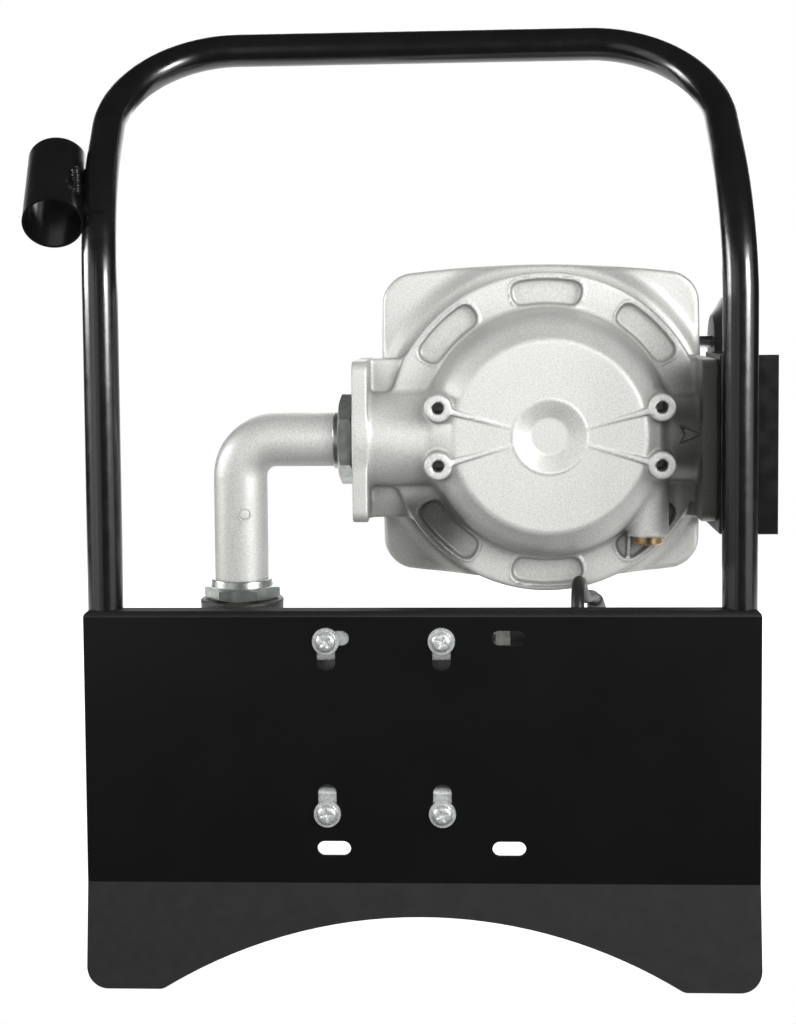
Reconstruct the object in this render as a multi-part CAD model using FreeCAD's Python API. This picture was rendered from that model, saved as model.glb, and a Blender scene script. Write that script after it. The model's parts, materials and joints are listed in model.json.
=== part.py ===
import FreeCAD, Part
import math
import os

# Portable transfer pump on a carrying frame.
# Lengths are in millimetres. X runs along the back plate, Y from the plate towards the dial
# side, Z up from the floor. While it is built, X = 0 is the middle of the plate and Y = 0 the
# plate's rear face. At the end everything moves so that the origin is the middle of the footprint.

V = FreeCAD.Vector
X_AXIS = V(1, 0, 0)
Y_AXIS = V(0, 1, 0)
Z_AXIS = V(0, 0, 1)

# Back plate
plate_width = 400.0
plate_top = 225.0
plate_t = 2.5
bend_height = 62.0
kick_angle = 8.0
lip_depth = 14.0
lip_bend_radius = 3.5
foot_corner_radius = 13.0
arch_height = 42.4
arch_radius = 302.0
arch_corner_radius = 8.0
slot_width = 9.0
slot_length = 20.0
slot_spacing_x = 104.0
slot_low_z = 82.8
slot_high_z = 209.0
adjust_slot_width = 11.0
adjust_slot_length = 24.5

# Handle tube
tube_od = 21.0
tube_wall = 1.6
leg_x = 188.9
weld_gap = 0.2
foot_reach = 196.0
foot_bend_radius = 50.0
knee_height = 460.0
knee_radius = 125.0
lean_angle = 44.5
bar_rise = 110.0
handle_corner_radius = 76.0
cap_flange = 3.0

# Nozzle holder
holder_od = 36.0
holder_wall = 1.5
holder_length = 64.0
holder_tilt = 38.5
holder_splay = 7.0
holder_gap = 1.4
holder_rise = 14.7
holder_depth = 18.3
holder_web_length = 46.0
holder_web_t = 3.0

# Pump and motor, shaft along X
shaft_y = 62.0
shaft_z = 156.5
port_x = -113.0
pump_back_x = -84.0
pump_flange_t = 8.0
pump_flange_radius = 51.0
pump_barrel_radius = 44.0
pump_front_x = -132.0
cover_t = 10.0
chamber_depth = 28.0
chamber_radius = 34.0
chamber_offset = 3.0
rotor_radius = 30.5
vane_count = 5
vane_t = 3.0
boss_radius = 26.0
outlet_boss_top = 223.0
inlet_boss_bottom = 89.0
port_bore = 15.15
port_depth = 20.0
passage_radius = 10.0
valve_bore = 8.3
valve_boss_radius = 14.0
valve_boss_end = 120.0
shaft_radius = 7.5
rotor_shaft_radius = 7.0
running_gap = 0.05

motor_shell_radius = 48.5
motor_bore_radius = 46.0
fin_radius = 52.5
fin_t = 2.2
fin_count = 30
shell_x0 = -78.0
shell_x1 = 50.0
shield_t = 6.0
stator_bore = 28.0
air_gap = 0.6
stator_x0 = -50.0
stator_x1 = 22.0
winding_radius = 41.0
winding_overhang = 14.0
bearing_od = 35.0
bearing_width = 9.0
cowl_x1 = 84.0
cowl_wall = 1.5
fan_radius = 40.0
fan_blades = 9

# Foot rails between plate and motor
rail_t = 3.0
rail_x0 = -72.0
rail_x1 = 28.0
rail_half_gap = 38.3
rail_flange = 27.0
rail_web_end = 31.5
screw_x = (-55.8, 12.5)
screw_high_z = 207.4
screw_low_z = 104.0
screw_radius = 3.0

# Terminal box on the motor and switch box on the plate
terminal_x0 = 20.0
terminal_x1 = 124.0
terminal_y0 = 116.0
terminal_y1 = 152.0
terminal_z0 = 128.0
terminal_z1 = 188.0
box_wall = 2.5
lid_t = 3.0
switch_x0 = 87.5
switch_x1 = 150.0
switch_y1 = 46.0
supply_x = 125.0
supply_y = 24.0
switch_z0 = 95.0
switch_z1 = 170.0
rocker_center = (111.0, 135.0)
rocker_width = 19.6
rocker_half_height = 13.2
rocker_swing = 10.0
button_center = (137.0, 128.0)
button_radius = 5.0
button_travel = 2.5

# Motor lead, fixed at both ends
lead_radius = 4.0
boot_length = 22.0
boot_base_radius = 7.6
boot_tip_radius = 5.3
lead_route = (
    (115.5, 131.0, 182.5),
    (111.5, 118.0, 213.0),
    (106.0, 92.0, 218.6),
    (100.5, 67.5, 221.5),
    (96.6, 47.0, 235.7),
    (94.8, 33.2, 234.2),
    (94.0, 24.2, 224.0),
    (93.8, 23.6, 203.5),
    (94.4, 24.0, 184.0),
)

# Elbow between pump and meter
port_z = 322.0
elbow_radius = 16.6
elbow_bore = 12.5
elbow_bend_radius = 22.6
spigot_radius = 15.05
nut_across_flats = 48.4
nut_t = 9.2
lower_nut_across_flats = 41.0
lower_nut_t = 8.0
collar_radius = 18.6
collar_t = 3.4

# Flow meter, its own axis along Y
meter_x = 77.5
meter_z = 326.0
dome_y = 22.0
dome_face_radius = 58.0
dome_edge_radius = 72.0
dome_edge_y = 35.0
dome_base_radius = 77.5
recess_radius = 21.0
recess_floor_radius = 12.0
recess_depth = 5.0
ring_y = 60.0
ring_radius = 99.0
ring_chamfer = 4.5
body_front_y = 92.0
cavity_radius = 60.0
pocket_inner = 78.6
pocket_outer = 94.6
pocket_angle = 29.0
pocket_depth = 9.0
neck_in_radius = 28.8
neck_out_radius = 26.6
inlet_reach = 119.0
outlet_gap = 2.2
flange_t = 9.4
flange_half_height = 49.5
flange_bolt_dz = 38.0
flange_y0 = 34.0
web_block_y = 67.0
ear_dx = 66.6
ear_dz = 17.3
ear_radius = 8.4
ear_y = 20.0
ear_hole_radius = 2.7
plug_boss_dx = 61.1
plug_boss_y = 50.0
plug_boss_radius = 12.7
plug_boss_z = 263.0
web_inner_dx = 70.0
seal_depth = 2.5
seal_outer = 70.0
seal_inner = 66.0

case_back_y = 100.0
case_front_y = 146.0
case_dx = -2.0
case_dz = 4.0
case_half_width = 101.6
case_half_height = 100.0
case_crown_top = 7.0
case_crown_side = 1.2
case_corner_radius = 17.0
step_radius = 109.0
drum_cavity_radius = 86.0
back_wall_y = 104.0
dial_radius = 88.0
dial_t = 1.2
glass_t = 2.8
cover_t_y = 11.0
view_radius = 79.0
drum_y = 125.5
drum_rise = 49.5
drum_radius = 18.5
drum_width = 20.0
drum_pitch = 21.0
drum_shaft_radius = 4.0
cheek_drop = 26.0
frame_rise = 15.0
knob_gap = 9.9
knob_length = 25.0
knob_radius = 29.0

# Outlet bracket
bracket_t = 2.5
bracket_reach = 34.3
bracket_return = 22.3
bracket_half_height = 53.5
bracket_z = 320.5
bracket_back_gap = 0.5

disc_radius = 42.0
disc_tilt = 12.0
chamber_y = 57.0
chamber_low_y = 40.0
chamber_floor_y = 46.0
chamber_neck_y = 68.0
chamber_roof_y = 73.0
chamber_rim_y = 80.0
chamber_top_y = 84.0
chamber_bore = 44.0
chamber_outer = 55.0
chamber_seat_outer = 10.0
chamber_rim_radius = 61.9
chamber_rim_bore = 50.0

pieces = {}


def keep(name, *solids):
    """Adds one or more solids to a named piece."""
    pieces.setdefault(name, []).extend(solids)


def block(x0, x1, y0, y1, z0, z1):
    return Part.makeBox(x1 - x0, y1 - y0, z1 - z0, V(x0, y0, z0))


def rod(start, end, radius):
    return Part.makeCylinder(radius, (end - start).Length, start, end - start)


def sleeve(start, end, outer, inner):
    reach = (end - start) * 0.1
    return rod(start, end, outer).cut(rod(start - reach, end + reach, inner))


def rounded_path(points, radii, closed=False):
    """A wire of straight runs joined by tangent arcs. A radius of 0 leaves a sharp corner."""
    count = len(points)
    entry = list(points)
    leave = list(points)
    arcs = [None] * count
    for i in range(count):
        if radii[i] <= 0 or (not closed and i in (0, count - 1)):
            continue
        came = points[i] - points[i - 1]
        goes = points[(i + 1) % count] - points[i]
        came.normalize()
        goes.normalize()
        half_turn = came.getAngle(goes) / 2
        tangent = radii[i] * math.tan(half_turn)
        inward = goes - came
        inward.normalize()
        depth = radii[i] / math.cos(half_turn) - radii[i]
        entry[i] = points[i] - came * tangent
        leave[i] = points[i] + goes * tangent
        arcs[i] = Part.Arc(entry[i], points[i] + inward * depth, leave[i]).toShape()
    edges = []
    for i in range(count):
        if arcs[i] is not None:
            edges.append(arcs[i])
        if i == count - 1 and not closed:
            break
        following = (i + 1) % count
        if (entry[following] - leave[i]).Length > 1e-6:
            edges.append(Part.LineSegment(leave[i], entry[following]).toShape())
    return Part.Wire(edges)


def turned(profile, base, along, across, radii=None):
    """Revolves (distance along the axis, radius) points about the axis through base."""
    points = [base + along * a + across * r for a, r in profile]
    radii = radii or [0] * len(points)
    return Part.Face(rounded_path(points, radii, closed=True)).revolve(base, along, 360)


def prism(points, sweep, radii=None):
    radii = radii or [0] * len(points)
    return Part.Face(rounded_path(points, radii, closed=True)).extrude(sweep)


def pipe(points, radii, outer, inner=0.0):
    """A round tube swept along a path of runs and tangent arcs."""
    path = rounded_path(points, radii)

    def sweep(radius):
        profile = Part.Wire([Part.makeCircle(radius, points[0], points[1] - points[0])])
        return path.makePipeShell([profile], True, False)

    return sweep(outer).cut(sweep(inner)) if inner else sweep(outer)


def hexagon(start, end, across_flats, chamfer=1.0):
    """A hexagon bar with its corners turned off at both ends."""
    axis = end - start
    length = axis.Length
    axis.normalize()
    side = V(0, 0, 1) if abs(axis.z) < 0.5 else V(1, 0, 0)
    other = axis.cross(side)
    corner = across_flats / math.sqrt(3)
    turns = [math.radians(60 * k) for k in range(6)]
    points = [start + side * (corner * math.cos(t)) + other * (corner * math.sin(t)) for t in turns]
    low = across_flats * 0.49
    profile = [(0, 0), (0, low), (chamfer, corner), (length - chamfer, corner), (length, low), (length, 0)]
    return prism(points, end - start).common(turned(profile, start, axis, side))


def slot(center, half_length, radius, along, through):
    """A round-ended slot cutter, centred on its depth."""
    start = center - through * 0.5
    ends = [start - along * (half_length - radius), start + along * (half_length - radius)]
    across = along.cross(through)
    across.normalize()
    corners = [ends[0] - across * radius, ends[1] - across * radius]
    corners += [ends[1] + across * radius, ends[0] + across * radius]
    body = prism(corners, through)
    return body.fuse([rod(end, end + through, radius) for end in ends])


def fillet_where(shape, radius, test):
    chosen = [edge for edge in shape.Edges if test(edge)]
    return shape.makeFillet(radius, chosen)


def runs_along(edge, axis):
    if not isinstance(edge.Curve, (Part.Line, Part.LineSegment)):
        return False
    direction = edge.Vertexes[-1].Point - edge.Vertexes[0].Point
    return direction.Length > 0.1 and direction.cross(axis).Length < 1e-4 * direction.Length


def around(center, radius, count, first=0.0, axis="x"):
    """Points on a circle about the shaft direction named by axis."""
    points = []
    for k in range(count):
        turn = math.radians(first + 360.0 * k / count)
        a = radius * math.cos(turn)
        b = radius * math.sin(turn)
        points.append(center + (V(0, a, b) if axis == "x" else V(a, 0, b)))
    return points


def socket_screw(seat, inward, shank_radius, shank_length, head_radius, head_height):
    """A cap screw whose head stands on seat and whose shank runs inward."""
    side = V(0, 0, 1) if abs(inward.z) < 0.5 else V(1, 0, 0)
    profile = [
        (-head_height, 0),
        (-head_height, head_radius - 0.4),
        (-head_height + 0.4, head_radius),
        (0, head_radius),
        (0, shank_radius),
        (shank_length, shank_radius),
        (shank_length, 0),
    ]
    screw = turned(profile, seat, inward, side)
    top = seat - inward * head_height
    return screw.cut(hexagon(top, top + inward * (head_height * 0.6), head_radius * 0.95, 0.01))


leg_y = plate_t + weld_gap + tube_od / 2
lean = math.radians(lean_angle)
bar_y = leg_y + bar_rise * math.tan(lean)
bar_height = knee_height + bar_rise
shaft_base = V(0, shaft_y, shaft_z)
flange_in_x = meter_x - inlet_reach
flange_out_x = meter_x + ring_radius + outlet_gap
plug_boss_x = meter_x + plug_boss_dx
case_x = meter_x + case_dx
case_z = meter_z + case_dz
drum_z = case_z + drum_rise
knob_x = case_x + case_half_width + knob_gap
bracket_right_x = flange_out_x + bracket_reach
bracket_back_y = body_front_y - bracket_back_gap


def shaft_point(x, dy=0.0, dz=0.0):
    return V(x, shaft_y + dy, shaft_z + dz)


def shaft_turned(profile, radii=None):
    return turned(profile, shaft_base, X_AXIS, Y_AXIS, radii)


def meter_point(dx, y, dz):
    return V(meter_x + dx, y, meter_z + dz)


def meter_turned(profile, radii=None):
    return turned(profile, V(meter_x, 0, meter_z), Y_AXIS, X_AXIS, radii)


def case_point(dx, y, dz):
    return V(case_x + dx, y, case_z + dz)


def make_back_plate():
    kick = math.radians(kick_angle)
    toe = -bend_height * math.tan(kick)
    inner_z = bend_height - plate_t * math.tan(kick / 2)
    inner_toe = plate_t - inner_z * math.tan(kick)
    side = [
        V(0, toe, 0),
        V(0, 0, bend_height),
        V(0, 0, plate_top),
        V(0, lip_depth, plate_top),
        V(0, lip_depth, plate_top - plate_t),
        V(0, plate_t, plate_top - plate_t),
        V(0, plate_t, inner_z),
        V(0, inner_toe, 0),
    ]
    bends = [0, 0, lip_bend_radius, 0, 0, lip_bend_radius - plate_t, 0, 0]
    half = plate_width / 2
    sheet = prism([p - X_AXIS * half for p in side], X_AXIS * plate_width, bends)

    outline = block(-half, half, toe - 5, lip_depth + 5, 0, plate_top)
    arch_axis = V(0, toe - 10, arch_height - arch_radius)
    outline = outline.cut(rod(arch_axis, arch_axis + Y_AXIS * 60, arch_radius))

    def corner(low, inner):
        def test(edge):
            point = edge.Vertexes[0].Point
            at_height = point.z < 1 if low else point.z > plate_top - 1
            at_side = abs(abs(point.x) - half) < 1
            return runs_along(edge, Y_AXIS) and at_height and at_side != inner
        return test

    outline = fillet_where(outline, foot_corner_radius, corner(True, False))
    outline = fillet_where(outline, lip_bend_radius, corner(False, False))
    outline = fillet_where(outline, arch_corner_radius, corner(True, True))
    plate = sheet.common(outline)

    through = Y_AXIS * 40
    cutters = []
    for x in (-slot_spacing_x / 2, slot_spacing_x / 2):
        for z in (slot_low_z, slot_high_z):
            cutters.append(slot(V(x, 0, z), slot_length / 2, slot_width / 2, X_AXIS, through))
    reach = adjust_slot_length / 2
    for x in screw_x:
        for z in (screw_high_z - 6.0, screw_low_z + 5.5):
            cutters.append(slot(V(x, 0, z), reach, adjust_slot_width / 2, Z_AXIS, through))
    for x in (-leg_x, leg_x):
        start = V(x, leg_y, plate_top - 8)
        cutters.append(rod(start, start + Z_AXIS * 20, tube_od / 2 + weld_gap))
    keep("back_plate", plate.cut(cutters))


def handle_points():
    return [
        V(-leg_x, foot_reach, tube_od / 2),
        V(-leg_x, leg_y, tube_od / 2),
        V(-leg_x, leg_y, knee_height),
        V(-leg_x, bar_y, bar_height),
        V(leg_x, bar_y, bar_height),
        V(leg_x, leg_y, knee_height),
        V(leg_x, leg_y, tube_od / 2),
        V(leg_x, foot_reach, tube_od / 2),
    ]


def make_handle():
    bends = [0, foot_bend_radius, knee_radius, handle_corner_radius]
    bends += bends[::-1]
    inner = tube_od / 2 - tube_wall
    keep("handle_tube", pipe(handle_points(), bends, tube_od / 2, inner))
    caps = []
    for x in (-leg_x, leg_x):
        profile = [
            (-12, 0),
            (-12, inner - 0.1),
            (0, inner - 0.1),
            (0, tube_od / 2),
            (cap_flange, tube_od / 2),
            (cap_flange, 0),
        ]
        base = V(x, foot_reach, tube_od / 2)
        caps.append(turned(profile, base, Y_AXIS, X_AXIS, [0, 0, 0, 0, 1.5, 0]))
    keep("foot_caps", *caps)


def holder_frame():
    tilt = math.radians(holder_tilt)
    splay = math.radians(holder_splay)
    axis = V(-math.sin(splay), math.cos(splay) * math.cos(tilt), math.cos(splay) * math.sin(tilt))
    x = -leg_x - tube_od / 2 - holder_gap - holder_od / 2
    return V(x, leg_y + holder_depth, knee_height + holder_rise), axis


def make_nozzle_holder():
    center, axis = holder_frame()
    start = center - axis * (holder_length / 2)
    end = center + axis * (holder_length / 2)
    holder = sleeve(start, end, holder_od / 2, holder_od / 2 - holder_wall)
    side = axis.cross(X_AXIS)
    side.normalize()
    reach = V(-leg_x, center.y, center.z) - center
    foot = center - axis * (holder_web_length / 2) - side * (holder_web_t / 2)
    head = foot + axis * holder_web_length
    web = prism([foot, head, head + reach, foot + reach], side * holder_web_t)
    bead = Part.makeSphere(5.0, center + X_AXIS * ((holder_od + holder_gap) / 2))
    join = web.fuse(bead)
    join = join.cut(rod(start, end, holder_od / 2 - holder_wall / 2))
    join = join.cut(pipe(handle_points()[1:4], [0, knee_radius, 0], tube_od / 2))
    join = min(join.Solids, key=lambda solid: (solid.CenterOfMass - center).Length)
    keep("nozzle_holder", holder.fuse(join))


def make_outlet_bracket():
    front_y = leg_y + tube_od / 2 + weld_gap
    low = bracket_z - bracket_half_height
    points = [
        V(bracket_right_x, front_y, low),
        V(flange_out_x, front_y, low),
        V(flange_out_x, bracket_back_y, low),
        V(flange_out_x + bracket_return, bracket_back_y, low),
        V(flange_out_x + bracket_return, bracket_back_y - bracket_t, low),
        V(flange_out_x + bracket_t, bracket_back_y - bracket_t, low),
        V(flange_out_x + bracket_t, front_y + bracket_t, low),
        V(bracket_right_x, front_y + bracket_t, low),
    ]
    outer = bracket_t + 1.0
    bends = [0, outer, outer, 0, 0, 1.0, 1.0, 0]
    bracket = prism(points, Z_AXIS * (2 * bracket_half_height), bends)
    port = V(flange_out_x - 5, shaft_y, port_z)
    bracket = bracket.cut(rod(port, port + X_AXIS * 15, neck_out_radius - 4))
    holes = [rod(p - X_AXIS * 5, p + X_AXIS * 10, 3.3) for p in flange_bolt_points(flange_out_x)]
    keep("outlet_bracket", bracket.cut(holes))
    seats = flange_bolt_points(flange_out_x + bracket_t)
    bolts = []
    for seat in seats:
        head = hexagon(seat, seat + X_AXIS * 4, 10.0, 0.6)
        bolts.append(head.fuse(rod(seat - X_AXIS * 11, seat, screw_radius)))
    keep("hex_bolts", *bolts)


def flange_bolt_points(x):
    return [V(x, shaft_y + dy, port_z + dz) for dy in (-18, 20) for dz in (-flange_bolt_dz, flange_bolt_dz)]


def make_pump():
    barrel = shaft_turned([
        (pump_front_x, 0),
        (pump_front_x, pump_barrel_radius),
        (pump_back_x - pump_flange_t, pump_barrel_radius),
        (pump_back_x - pump_flange_t, pump_flange_radius),
        (pump_back_x, pump_flange_radius),
        (pump_back_x, 0),
    ], [0, 2, 4, 2, 0, 0])
    top = V(port_x, shaft_y, outlet_boss_top)
    bottom = V(port_x, shaft_y, inlet_boss_bottom)
    middle = V(port_x, shaft_y, shaft_z)
    outlet_boss = turned([
        (0, 0),
        (0, boss_radius - 4),
        (outlet_boss_top - shaft_z, boss_radius),
        (outlet_boss_top - shaft_z, 0),
    ], middle, Z_AXIS, X_AXIS, [0, 0, 1.5, 0])
    inlet_boss = turned([
        (0, 0),
        (0, boss_radius - 4),
        (shaft_z - inlet_boss_bottom, boss_radius),
        (shaft_z - inlet_boss_bottom, 0),
    ], middle, Z_AXIS * -1, X_AXIS, [0, 0, 1.5, 0])
    valve_axis = V(port_x, 0, shaft_z)
    valve_boss = rod(valve_axis + Y_AXIS * shaft_y, valve_axis + Y_AXIS * valve_boss_end, valve_boss_radius)
    body = barrel.fuse([outlet_boss, inlet_boss, valve_boss])

    chamber = rod(
        V(pump_front_x - 1, shaft_y + chamber_offset, shaft_z),
        V(pump_front_x + chamber_depth, shaft_y + chamber_offset, shaft_z),
        chamber_radius,
    )
    cuts = [
        chamber,
        rod(shaft_point(pump_front_x - 30), shaft_point(pump_front_x), pump_barrel_radius + 1.5),
        rod(top - Z_AXIS * port_depth, top + Z_AXIS, port_bore),
        rod(bottom + Z_AXIS * port_depth, bottom - Z_AXIS, port_bore),
        rod(top - Z_AXIS * 50, top, passage_radius),
        rod(bottom + Z_AXIS * 50, bottom, passage_radius),
        rod(shaft_point(pump_front_x), shaft_point(pump_back_x + 1), shaft_radius + 0.6),
        rod(shaft_point(pump_back_x - 8), shaft_point(pump_back_x + 1), 13.0),
        rod(V(port_x, 104, shaft_z), V(port_x, valve_boss_end + 1, shaft_z), valve_bore),
        rod(V(port_x, 90, shaft_z), V(port_x, 105, shaft_z), valve_bore - 3.3),
    ]
    cover_holes = around(shaft_point(pump_front_x), pump_barrel_radius - 4.5, 5, 90)
    cuts += [rod(p - X_AXIS, p + X_AXIS * 14, 2.4) for p in cover_holes]
    mount_holes = around(shaft_point(pump_back_x), pump_flange_radius - 4.5, 4, 45)
    cuts += [rod(p - X_AXIS * 10, p + X_AXIS, 2.6) for p in mount_holes]
    cuts += [rod(p - X_AXIS * 16, p - X_AXIS * pump_flange_t, 4.3) for p in mount_holes]
    keep("pump_body", body.cut(cuts))

    face_x = pump_front_x - cover_t
    cover = shaft_turned([
        (pump_front_x, 0),
        (pump_front_x, pump_barrel_radius),
        (pump_front_x - 6, pump_barrel_radius),
        (pump_front_x - 6, 32),
        (face_x, 28),
        (face_x, 0),
    ], [0, 0, 1.5, 1.5, 2, 0])
    nose = rod(shaft_point(pump_front_x - 5), shaft_point(pump_front_x + 1), rotor_shaft_radius + 0.3)
    cover = cover.cut([nose] + [rod(p - X_AXIS * 15, p + X_AXIS, 2.7) for p in cover_holes])
    keep("pump_cover", cover)
    seats = [p - X_AXIS * 6 for p in cover_holes]
    screws = [socket_screw(p, X_AXIS, 2.4, 18, 4.2, 4.5) for p in seats]
    seats = [p - X_AXIS * pump_flange_t for p in mount_holes]
    screws += [socket_screw(p, X_AXIS, 2.5, 13, 3.9, 4.0) for p in seats]
    keep("pump_screws", *screws)

    rotor_x0 = pump_front_x + 0.3
    rotor_x1 = pump_front_x + chamber_depth - 0.3
    rotor = sleeve(shaft_point(rotor_x0), shaft_point(rotor_x1), rotor_radius, rotor_shaft_radius)
    slot_depth = 14.0
    vanes = []
    for k in range(vane_count):
        cutter = block(rotor_x0 - 1, rotor_x1 + 1, -vane_t / 2, vane_t / 2, rotor_radius - slot_depth, 40)
        vane = block(rotor_x0, rotor_x1, -vane_t / 2, vane_t / 2, rotor_radius - slot_depth + 1, rotor_radius)
        vane = vane.common(rod(V(rotor_x0 - 1, 0, 0), V(rotor_x1 + 1, 0, 0), rotor_radius - 0.1))
        for shape in (cutter, vane):
            shape.rotate(V(0, 0, 0), X_AXIS, 360.0 * k / vane_count)
            shape.translate(shaft_base)
        rotor = rotor.cut(cutter)
        vanes.append(vane)
    keep("pump_rotor", rotor)
    keep("pump_vanes", *vanes)
    keep("shaft_seal", sleeve(shaft_point(pump_back_x - 8), shaft_point(pump_back_x), 13.0, shaft_radius + running_gap))


def make_bypass_valve():
    def point(y):
        return V(port_x, y, shaft_z)

    keep("bypass_poppet", turned([
        (104, 0),
        (104, valve_bore - 0.08),
        (106.5, valve_bore - 0.08),
        (106.5, 3),
        (112, 3),
        (112, 0),
    ], point(0), Y_AXIS, X_AXIS))
    cap = hexagon(point(valve_boss_end), point(valve_boss_end + 9), 24.0)
    cap = cap.fuse(rod(point(valve_boss_end - 6), point(valve_boss_end + 1), valve_bore))
    cap = cap.cut(rod(point(valve_boss_end - 7), point(valve_boss_end + 4), 6.2))
    keep("bypass_cap", cap)
    coil_start = 106.6
    coil_end = valve_boss_end + 3.9
    turns = 4.5
    wire = 0.8
    coil_radius = 4.8
    pitch = (coil_end - coil_start - 2 * wire) / turns
    corners = 8
    count = int(turns * corners) + 1
    reach = coil_radius / math.cos(math.pi / corners)
    path = []
    for k in range(count):
        turn = 2 * math.pi * k / corners
        base = point(coil_start + wire + pitch * k / corners)
        path.append(base + X_AXIS * (reach * math.cos(turn)) + Z_AXIS * (reach * math.sin(turn)))
    bends = [0] + [coil_radius * 0.95] * (count - 2) + [0]
    spring = pipe(path, bends, wire)
    keep("bypass_spring", spring)


def make_motor():
    shell = sleeve(shaft_point(shell_x0), shaft_point(shell_x1), motor_shell_radius, motor_bore_radius)
    extras = []
    for k in range(fin_count):
        angle = 360.0 * (k + 0.5) / fin_count
        facing_plate = abs((angle - 180 + 180) % 360 - 180) < 58
        facing_box = min(angle, 360 - angle) < 33
        if facing_plate or facing_box:
            continue
        fin = block(shell_x0 + 6, shell_x1 - 5, motor_shell_radius - 1, fin_radius, -fin_t / 2, fin_t / 2)
        fin.rotate(V(0, 0, 0), X_AXIS, angle)
        fin.translate(shaft_base)
        extras.append(fin)
    bore = rod(shaft_point(shell_x0 - 1), shaft_point(shell_x1 + 1), motor_bore_radius)
    foot_y0 = 12.0
    for sign in (1, -1):
        near = shaft_z + sign * rail_half_gap
        far = shaft_z + sign * (rail_half_gap - 14)
        extras.append(block(rail_x0 + 4, rail_x1 - 4, foot_y0, 42, min(near, far), max(near, far)))
    extras.append(block(terminal_x0, shell_x1 - 5, 96, terminal_y0, shaft_z - 22, shaft_z + 22))
    extras = [piece.cut(bore) for piece in extras]
    housing = shell.fuse(extras)
    bolt_holes = []
    for x, sign in rail_bolt_places():
        seat = V(x, 24, shaft_z + sign * rail_half_gap)
        bolt_holes.append(rod(seat + Z_AXIS * sign, seat - Z_AXIS * (sign * 11), 2.5))
    keep("motor_housing", housing.cut(bolt_holes))

    drive = shaft_turned([
        (pump_back_x, shaft_radius + 0.5),
        (pump_back_x, pump_flange_radius),
        (shell_x0, pump_flange_radius),
        (shell_x0, motor_bore_radius - 0.1),
        (shell_x0 + 4, motor_bore_radius - 0.1),
        (shell_x0 + 4, bearing_od / 2 + 3),
        (shell_x0 + 9, bearing_od / 2 + 3),
        (shell_x0 + 9, bearing_od / 2),
        (shell_x0, bearing_od / 2),
        (shell_x0, shaft_radius + 0.5),
    ])
    mount_holes = around(shaft_point(pump_back_x), pump_flange_radius - 4.5, 4, 45)
    keep("drive_end_shield", drive.cut([rod(p - X_AXIS, p + X_AXIS * 5.4, 2.5) for p in mount_holes]))

    rear_x = shell_x1 + shield_t - 2
    rear = shaft_turned([
        (rear_x, shaft_radius + 0.5),
        (rear_x, motor_shell_radius),
        (shell_x1, motor_shell_radius),
        (shell_x1, motor_bore_radius - 0.1),
        (shell_x1 - 4, motor_bore_radius - 0.1),
        (shell_x1 - 4, bearing_od / 2 + 3),
        (shell_x1 - 7, bearing_od / 2 + 3),
        (shell_x1 - 7, bearing_od / 2),
        (shell_x1 + 2, bearing_od / 2),
        (shell_x1 + 2, shaft_radius + 0.5),
    ])
    keep("rear_end_shield", rear)

    stator = sleeve(shaft_point(stator_x0), shaft_point(stator_x1), motor_bore_radius, stator_bore)
    slots = []
    for k in range(18):
        cutter = block(stator_x0 - 1, stator_x1 + 1, stator_bore + 3, 38, -2.0, 2.0)
        cutter.rotate(V(0, 0, 0), X_AXIS, 20.0 * k)
        cutter.translate(shaft_base)
        slots.append(cutter)
    keep("stator_core", stator.cut(slots))
    ends = [(stator_x0 - winding_overhang, stator_x0), (stator_x1, stator_x1 + winding_overhang)]
    coils = []
    for x0, x1 in ends:
        profile = [(x0, stator_bore + 3), (x0, winding_radius), (x1, winding_radius), (x1, stator_bore + 3)]
        coils.append(shaft_turned(profile, [3, 5, 0, 0] if x0 < stator_x0 else [0, 0, 5, 3]))
    keep("stator_windings", *coils)

    core = stator_bore - air_gap
    keep("rotor_core", sleeve(shaft_point(stator_x0), shaft_point(stator_x1), core, shaft_radius + 2))
    shaft = shaft_turned([
        (pump_front_x - 4, 0),
        (pump_front_x - 4, rotor_shaft_radius),
        (pump_front_x + chamber_depth, rotor_shaft_radius),
        (pump_front_x + chamber_depth, shaft_radius),
        (stator_x0, shaft_radius),
        (stator_x0, shaft_radius + 2),
        (stator_x1, shaft_radius + 2),
        (stator_x1, shaft_radius),
        (74, shaft_radius),
        (74, 0),
    ])
    keep("motor_shaft", shaft)
    bearings = []
    for x in (shell_x0, shell_x1 + 2 - bearing_width):
        bearings.append(bearing(x))
    keep("ball_bearings", *bearings)


def bearing(x):
    """Outer and inner rings in one section, with a groove each side where the balls run."""
    outer = bearing_od / 2
    inner = shaft_radius + running_gap
    profile = [
        (x, inner),
        (x, inner + 2.6),
        (x + 1.2, inner + 3.2),
        (x + 1.2, outer - 3.2),
        (x, outer - 2.6),
        (x, outer),
        (x + bearing_width, outer),
        (x + bearing_width, outer - 2.6),
        (x + bearing_width - 1.2, outer - 3.2),
        (x + bearing_width - 1.2, inner + 3.2),
        (x + bearing_width, inner + 2.6),
        (x + bearing_width, inner),
    ]
    return shaft_turned(profile)


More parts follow.
